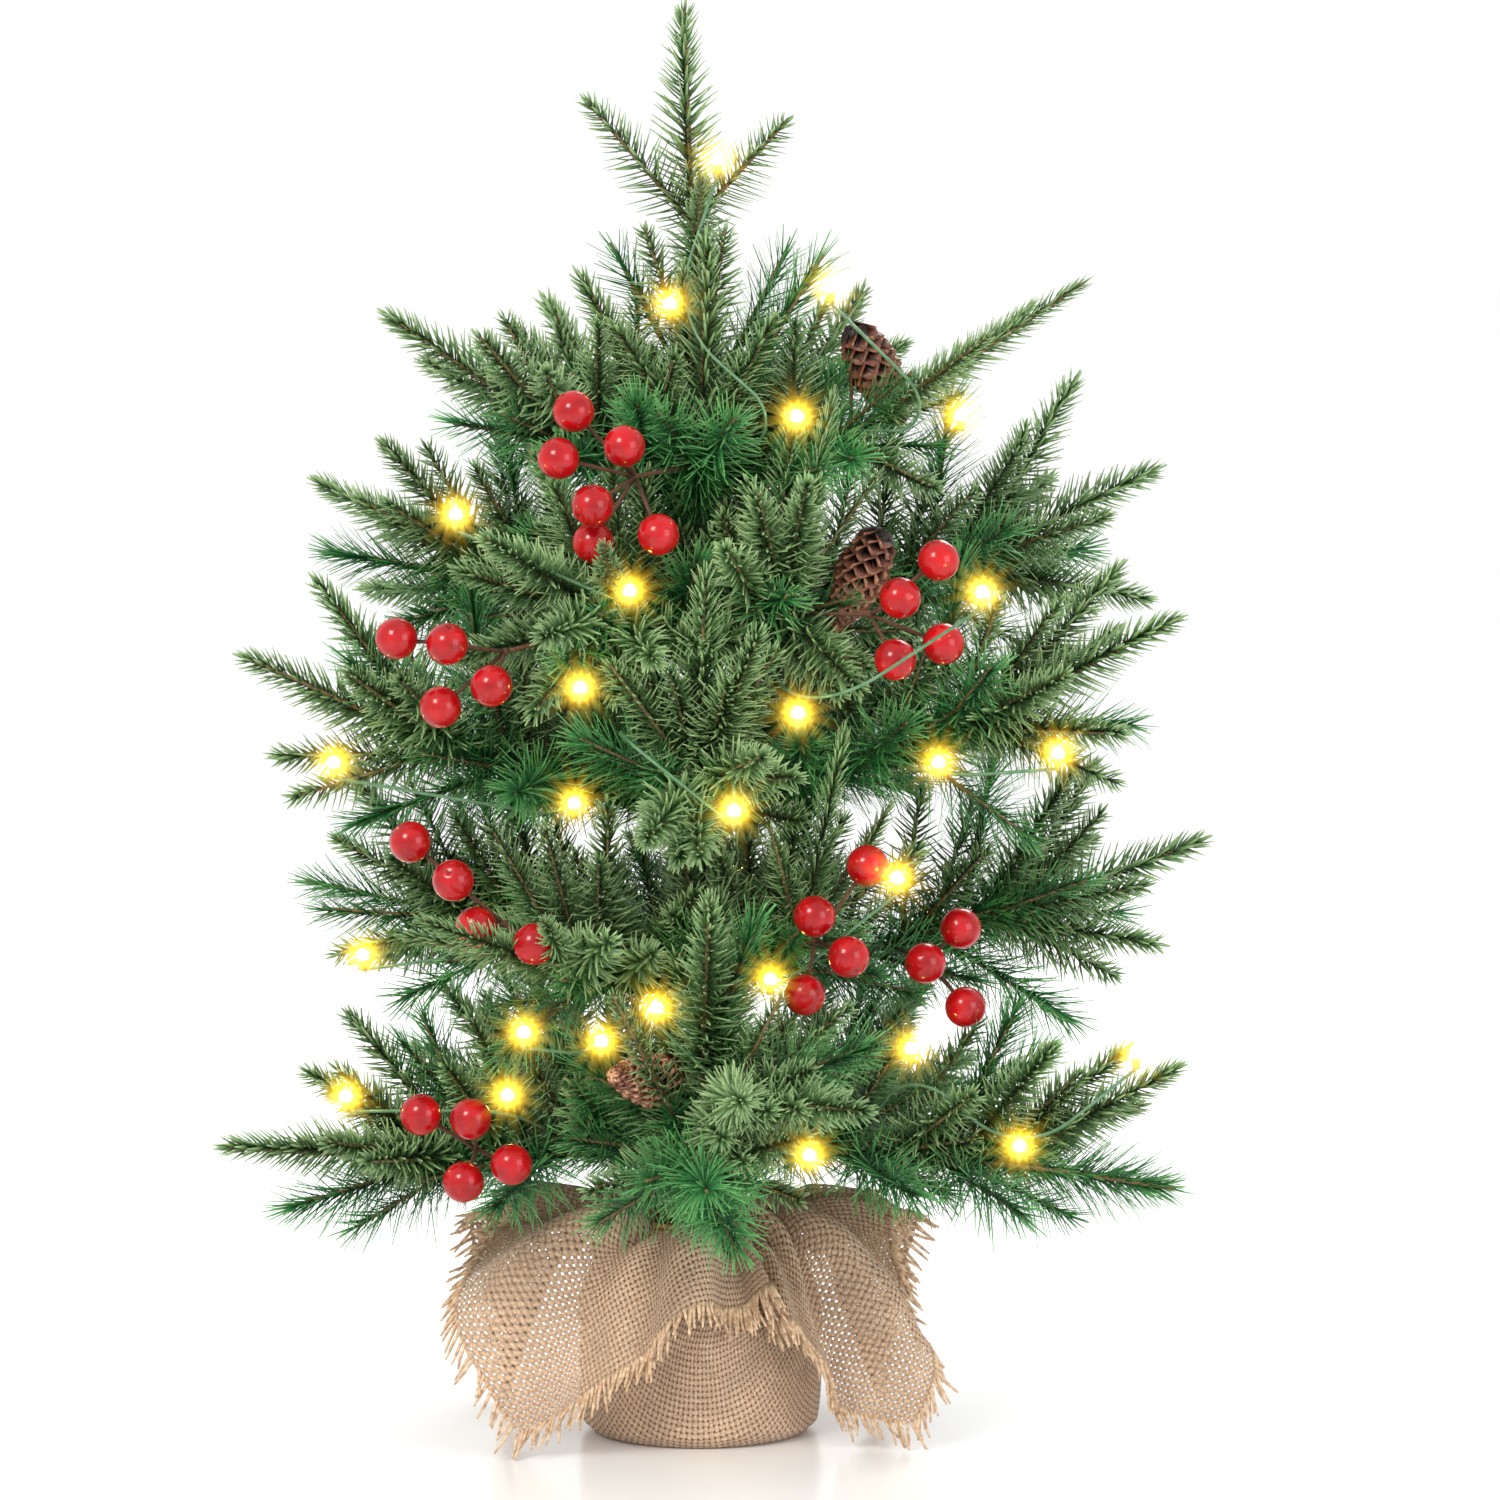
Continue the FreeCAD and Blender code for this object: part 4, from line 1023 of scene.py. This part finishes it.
def cone_finish():
    """Dry wood with fine growth streaks: painted shade makes it near black towards the scale's root, and the
    lip is pale, partly as painted highlight.
    """
    material, tree, shader = finish_named(
        "Dry pine scale", Roughness=0.55, Coat_Weight=0.15, Coat_Roughness=0.35
    )
    share = add(tree, "ShaderNodeAttribute", attribute_name="lip")
    where = add(tree, "ShaderNodeTexCoord")
    streak = add(
        tree,
        "ShaderNodeTexNoise",
        links={"Vector": where.outputs["Object"]},
        values={"Scale": 1 / (1.8 * MM), "Detail": 4.0},
    )
    # Painted shade and highlight: the lower half of the lip share is near black, the top pale.
    run = add(tree, "ShaderNodeValToRGB", links={"Fac": share.outputs["Fac"]})
    run.color_ramp.elements[0].position = 0.5
    run.color_ramp.elements[0].color = linear("1c0b06")
    run.color_ramp.elements[1].color = linear("d8a680")
    run.color_ramp.elements.new(0.82).color = linear("7f4531")
    level = add(
        tree,
        "ShaderNodeMapRange",
        links={"Value": streak.outputs["Fac"]},
        values={"From Min": 0.3, "From Max": 0.7, "To Min": 0.7, "To Max": 1.2},
    )
    shade = add(
        tree,
        "ShaderNodeMix",
        data_type="RGBA",
        blend_type="MULTIPLY",
        links={"A": run.outputs["Color"], "B": level.outputs["Result"]},
        values={"Factor": 1.0},
    )
    tree.links.new(shade.outputs["Result"], shader.inputs["Base Color"])
    return material


cone_look = cone_finish()


def cone_of(cad_name, body):
    """Core, scales and tie wire for one frame node."""
    cones, ties = bmesh.new(), bmesh.new()
    lip = cones.verts.layers.float.new("lip")
    for points in solids_of(cad_name):
        start, end, thick, _ = line_of(points)
        if thick < BERRY_LEAST:
            lay_rod(ties, start, end, TIE_RADIUS, TIE_RADIUS)
            continue
        long = (end - start).length
        along = (end - start).normalized()
        frame_turn = along.to_track_quat("Z", "Y").to_matrix().to_4x4()
        placed = Matrix.Translation(start) @ frame_turn
        bmesh.ops.create_cone(
            cones,
            cap_ends=True,
            segments=12,
            radius1=CORE_RADII[0],
            radius2=CORE_RADII[1],
            depth=long * 0.86,
            matrix=placed @ Matrix.Translation((0, 0, long * 0.47)),
        )
        for number in range(SCALES):
            share = (number + 0.5) / SCALES
            turn = math.radians(137.5) * number
            for (low, a), (high, b) in zip(CONE_SWELL, CONE_SWELL[1:]):
                if low <= share <= high:
                    swell = a + (b - a) * (share - low) / (high - low)
            reach = CONE_WIDE * swell
            wide = (3.1 + 2.6 * swell) * MM
            opening = math.radians(40 + 34 * share)
            made = bmesh.ops.create_grid(cones, x_segments=4, y_segments=5, size=0.5)["verts"]
            front = made[:]
            box_faces = list({face for vert in front for face in vert.link_faces})
            grown = bmesh.ops.extrude_face_region(cones, geom=box_faces)
            back = [item for item in grown["geom"] if isinstance(item, bmesh.types.BMVert)]
            for layer, verts in enumerate((front, back)):
                for vert in verts:
                    across, out = vert.co.x * 2, vert.co.y + 0.5
                    blunt = 1 - 0.35 * max(0, out - 0.8) / 0.2
                    outline = math.sin(math.pi * min(1.0, 0.16 + out * 0.62)) * blunt
                    cup = 0.24 * across * across * wide
                    thickness = (0.4 + 1.7 * out**3) * MM * (1 - 0.55 * abs(across))
                    boss = BOSS * math.exp(-((across / 0.3) ** 2) - ((out - 0.92) / 0.1) ** 2) if layer else 0
                    # Painted shade: the inner face gets 0.8 of the share, so it is darker; the boss gets
                    # more, so it is paler, partly as painted highlight.
                    vert[lip] = out * (1.0 if layer else 0.8) + (0.15 if boss > BOSS_SHOWS else 0)
                    proud = cup - (thickness + boss) * layer
                    vert.co = Vector((across * wide * outline, proud, out * reach * SCALE_LENGTH))
            tilt = Matrix.Rotation(-(math.pi / 2 - opening), 4, "X")
            place = (
                placed
                @ Matrix.Translation((0, 0, long * 0.86 * share))
                @ Matrix.Rotation(turn, 4, "Z")
                @ tilt
                @ Matrix.Rotation(RANDOM.uniform(-0.12, 0.12), 4, "Z")
            )
            bmesh.ops.transform(cones, matrix=place, verts=[*front, *back])
    bmesh.ops.recalc_face_normals(cones, faces=cones.faces)
    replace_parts(finished(cones, f"{cad_name}_scales", body, cone_look), cad_name)
    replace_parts(finished(ties, f"{cad_name}_tie", body, stalk_look), cad_name)


for body in sorted(members_of):
    for member in members_of[body]:
        if member.endswith("_cone"):
            cone_of(member, body)

# ---------------------------------------------------------------- light string
# Clear rice lamps glow warm white in green moulded sockets, on thin twisted wire in green vinyl.
# The wires keep the frame's routes, and the lead climbs the back of the pole from the box.

LAMP_LEAST = 5.0 * MM
LAMP_MOST = 5.6 * MM
SOCKET_MOST = 7.5 * MM
LAMP_RADIUS = 2.5 * MM
COLLAR_HIGH = (3.6 * MM, 4.6 * MM)
COLLAR_RADIUS = 2.4 * MM
SOCKET_TALL = 5 * MM
SOCKET_RADII = (1.5 * MM, 2.0 * MM)
wire_look = speckled("Green vinyl wire cover", "3f6a44", "628a66", 4.0, 0.4)
socket_look = speckled("Green moulded socket", "2f5136", "4c7450", 3.0, 0.42)


def glow_finish():
    """A lit lamp: white-hot in the middle of its height and warmer towards its ends."""
    material, tree, shader = finish_named(
        "Lit warm lamp", Base_Color=linear("fff3c8"), Roughness=0.12, Emission_Strength=34.0
    )
    height = add(tree, "ShaderNodeAttribute", attribute_name="height")
    run = add(tree, "ShaderNodeValToRGB", links={"Fac": height.outputs["Fac"]})
    run.color_ramp.elements[0].color = linear("ffb324")
    run.color_ramp.elements[1].color = linear("ffd040")
    run.color_ramp.elements.new(0.5).color = linear("ffe682")
    tree.links.new(run.outputs["Color"], shader.inputs["Emission Color"])
    return material


glow_look = glow_finish()


def lights_of(cad_name, body):
    """Wires, sockets and lamps for one frame node of the light string."""
    wires = merged_copy(cad_name)
    sockets, lamps = bmesh.new(), bmesh.new()
    height = lamps.verts.layers.float.new("height")
    not_wire = []
    for faces in parted(wires):
        points = corners_of(faces)
        spans = points.max(0) - points.min(0)
        middle = Vector((points.max(0) + points.min(0)) / 2)
        if spans.max() > SOCKET_MOST or max(spans[0], spans[1]) > LAMP_MOST:
            continue
        not_wire += faces
        if spans.min() > LAMP_LEAST:
            made = bmesh.ops.create_uvsphere(lamps, u_segments=16, v_segments=12, radius=LAMP_RADIUS)
            made = made["verts"]
            for vert in made:
                vert[height] = vert.co.z / (2 * LAMP_RADIUS) + 0.5
                vert.co.z *= 1.25 if vert.co.z > 0 else 1.0
            bmesh.ops.translate(lamps, verts=made, vec=middle)
        elif len(faces) > 11:
            low = Vector((middle.x, middle.y, points[:, 2].min()))
            lay_rod(sockets, low, low + Vector((0, 0, SOCKET_TALL)), *SOCKET_RADII, segments=14)
            collar = [low + Vector((0, 0, high)) for high in COLLAR_HIGH]
            lay_rod(sockets, *collar, COLLAR_RADIUS, COLLAR_RADIUS, segments=14)
    bmesh.ops.delete(wires, geom=not_wire, context="FACES")
    for bm, word, look, slot in (
        (wires, "wire", wire_look, "wire_cover"),
        (sockets, "sockets", socket_look, "wire_cover"),
        (lamps, "lamps", glow_look, "lamp"),
    ):
        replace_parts(finished(bm, f"{cad_name}_{word}", body, look), cad_name)


for body in sorted(members_of):
    for member in members_of[body]:
        if member.endswith("_lights"):
            lights_of(member, body)
shown_as("light_lead", wire_look)

# ---------------------------------------------------------------- battery box
# A moulded green box behind the base, with a sliding cover, three standard cells, sprung contacts,
# a small timer board and a slide switch on top. Every part keeps the frame's shape.

case_look = speckled("Green moulded ABS", "17351f", "1f452a", 9.0, 0.48, bump=0.06, bump_mm=0.7)
shown_as("battery_case", case_look)
shown_as("battery_cover", case_look)
shown_as("battery_cells", speckled("Printed cell jacket", "6d7076", "8b8f96", 12.0, 0.32))
plated, _, _ = finish_named(
    "Nickel-plated spring steel", Base_Color=linear("c9c7c0"), Metallic=1.0, Roughness=0.28
)
shown_as("battery_contacts", plated)
shown_as("circuit_board", speckled("Green solder mask", "0d4a28", "15613a", 5.0, 0.3))
shown_as("switch_knob", speckled("Black moulded ABS", "141416", "222226", 2.0, 0.4))
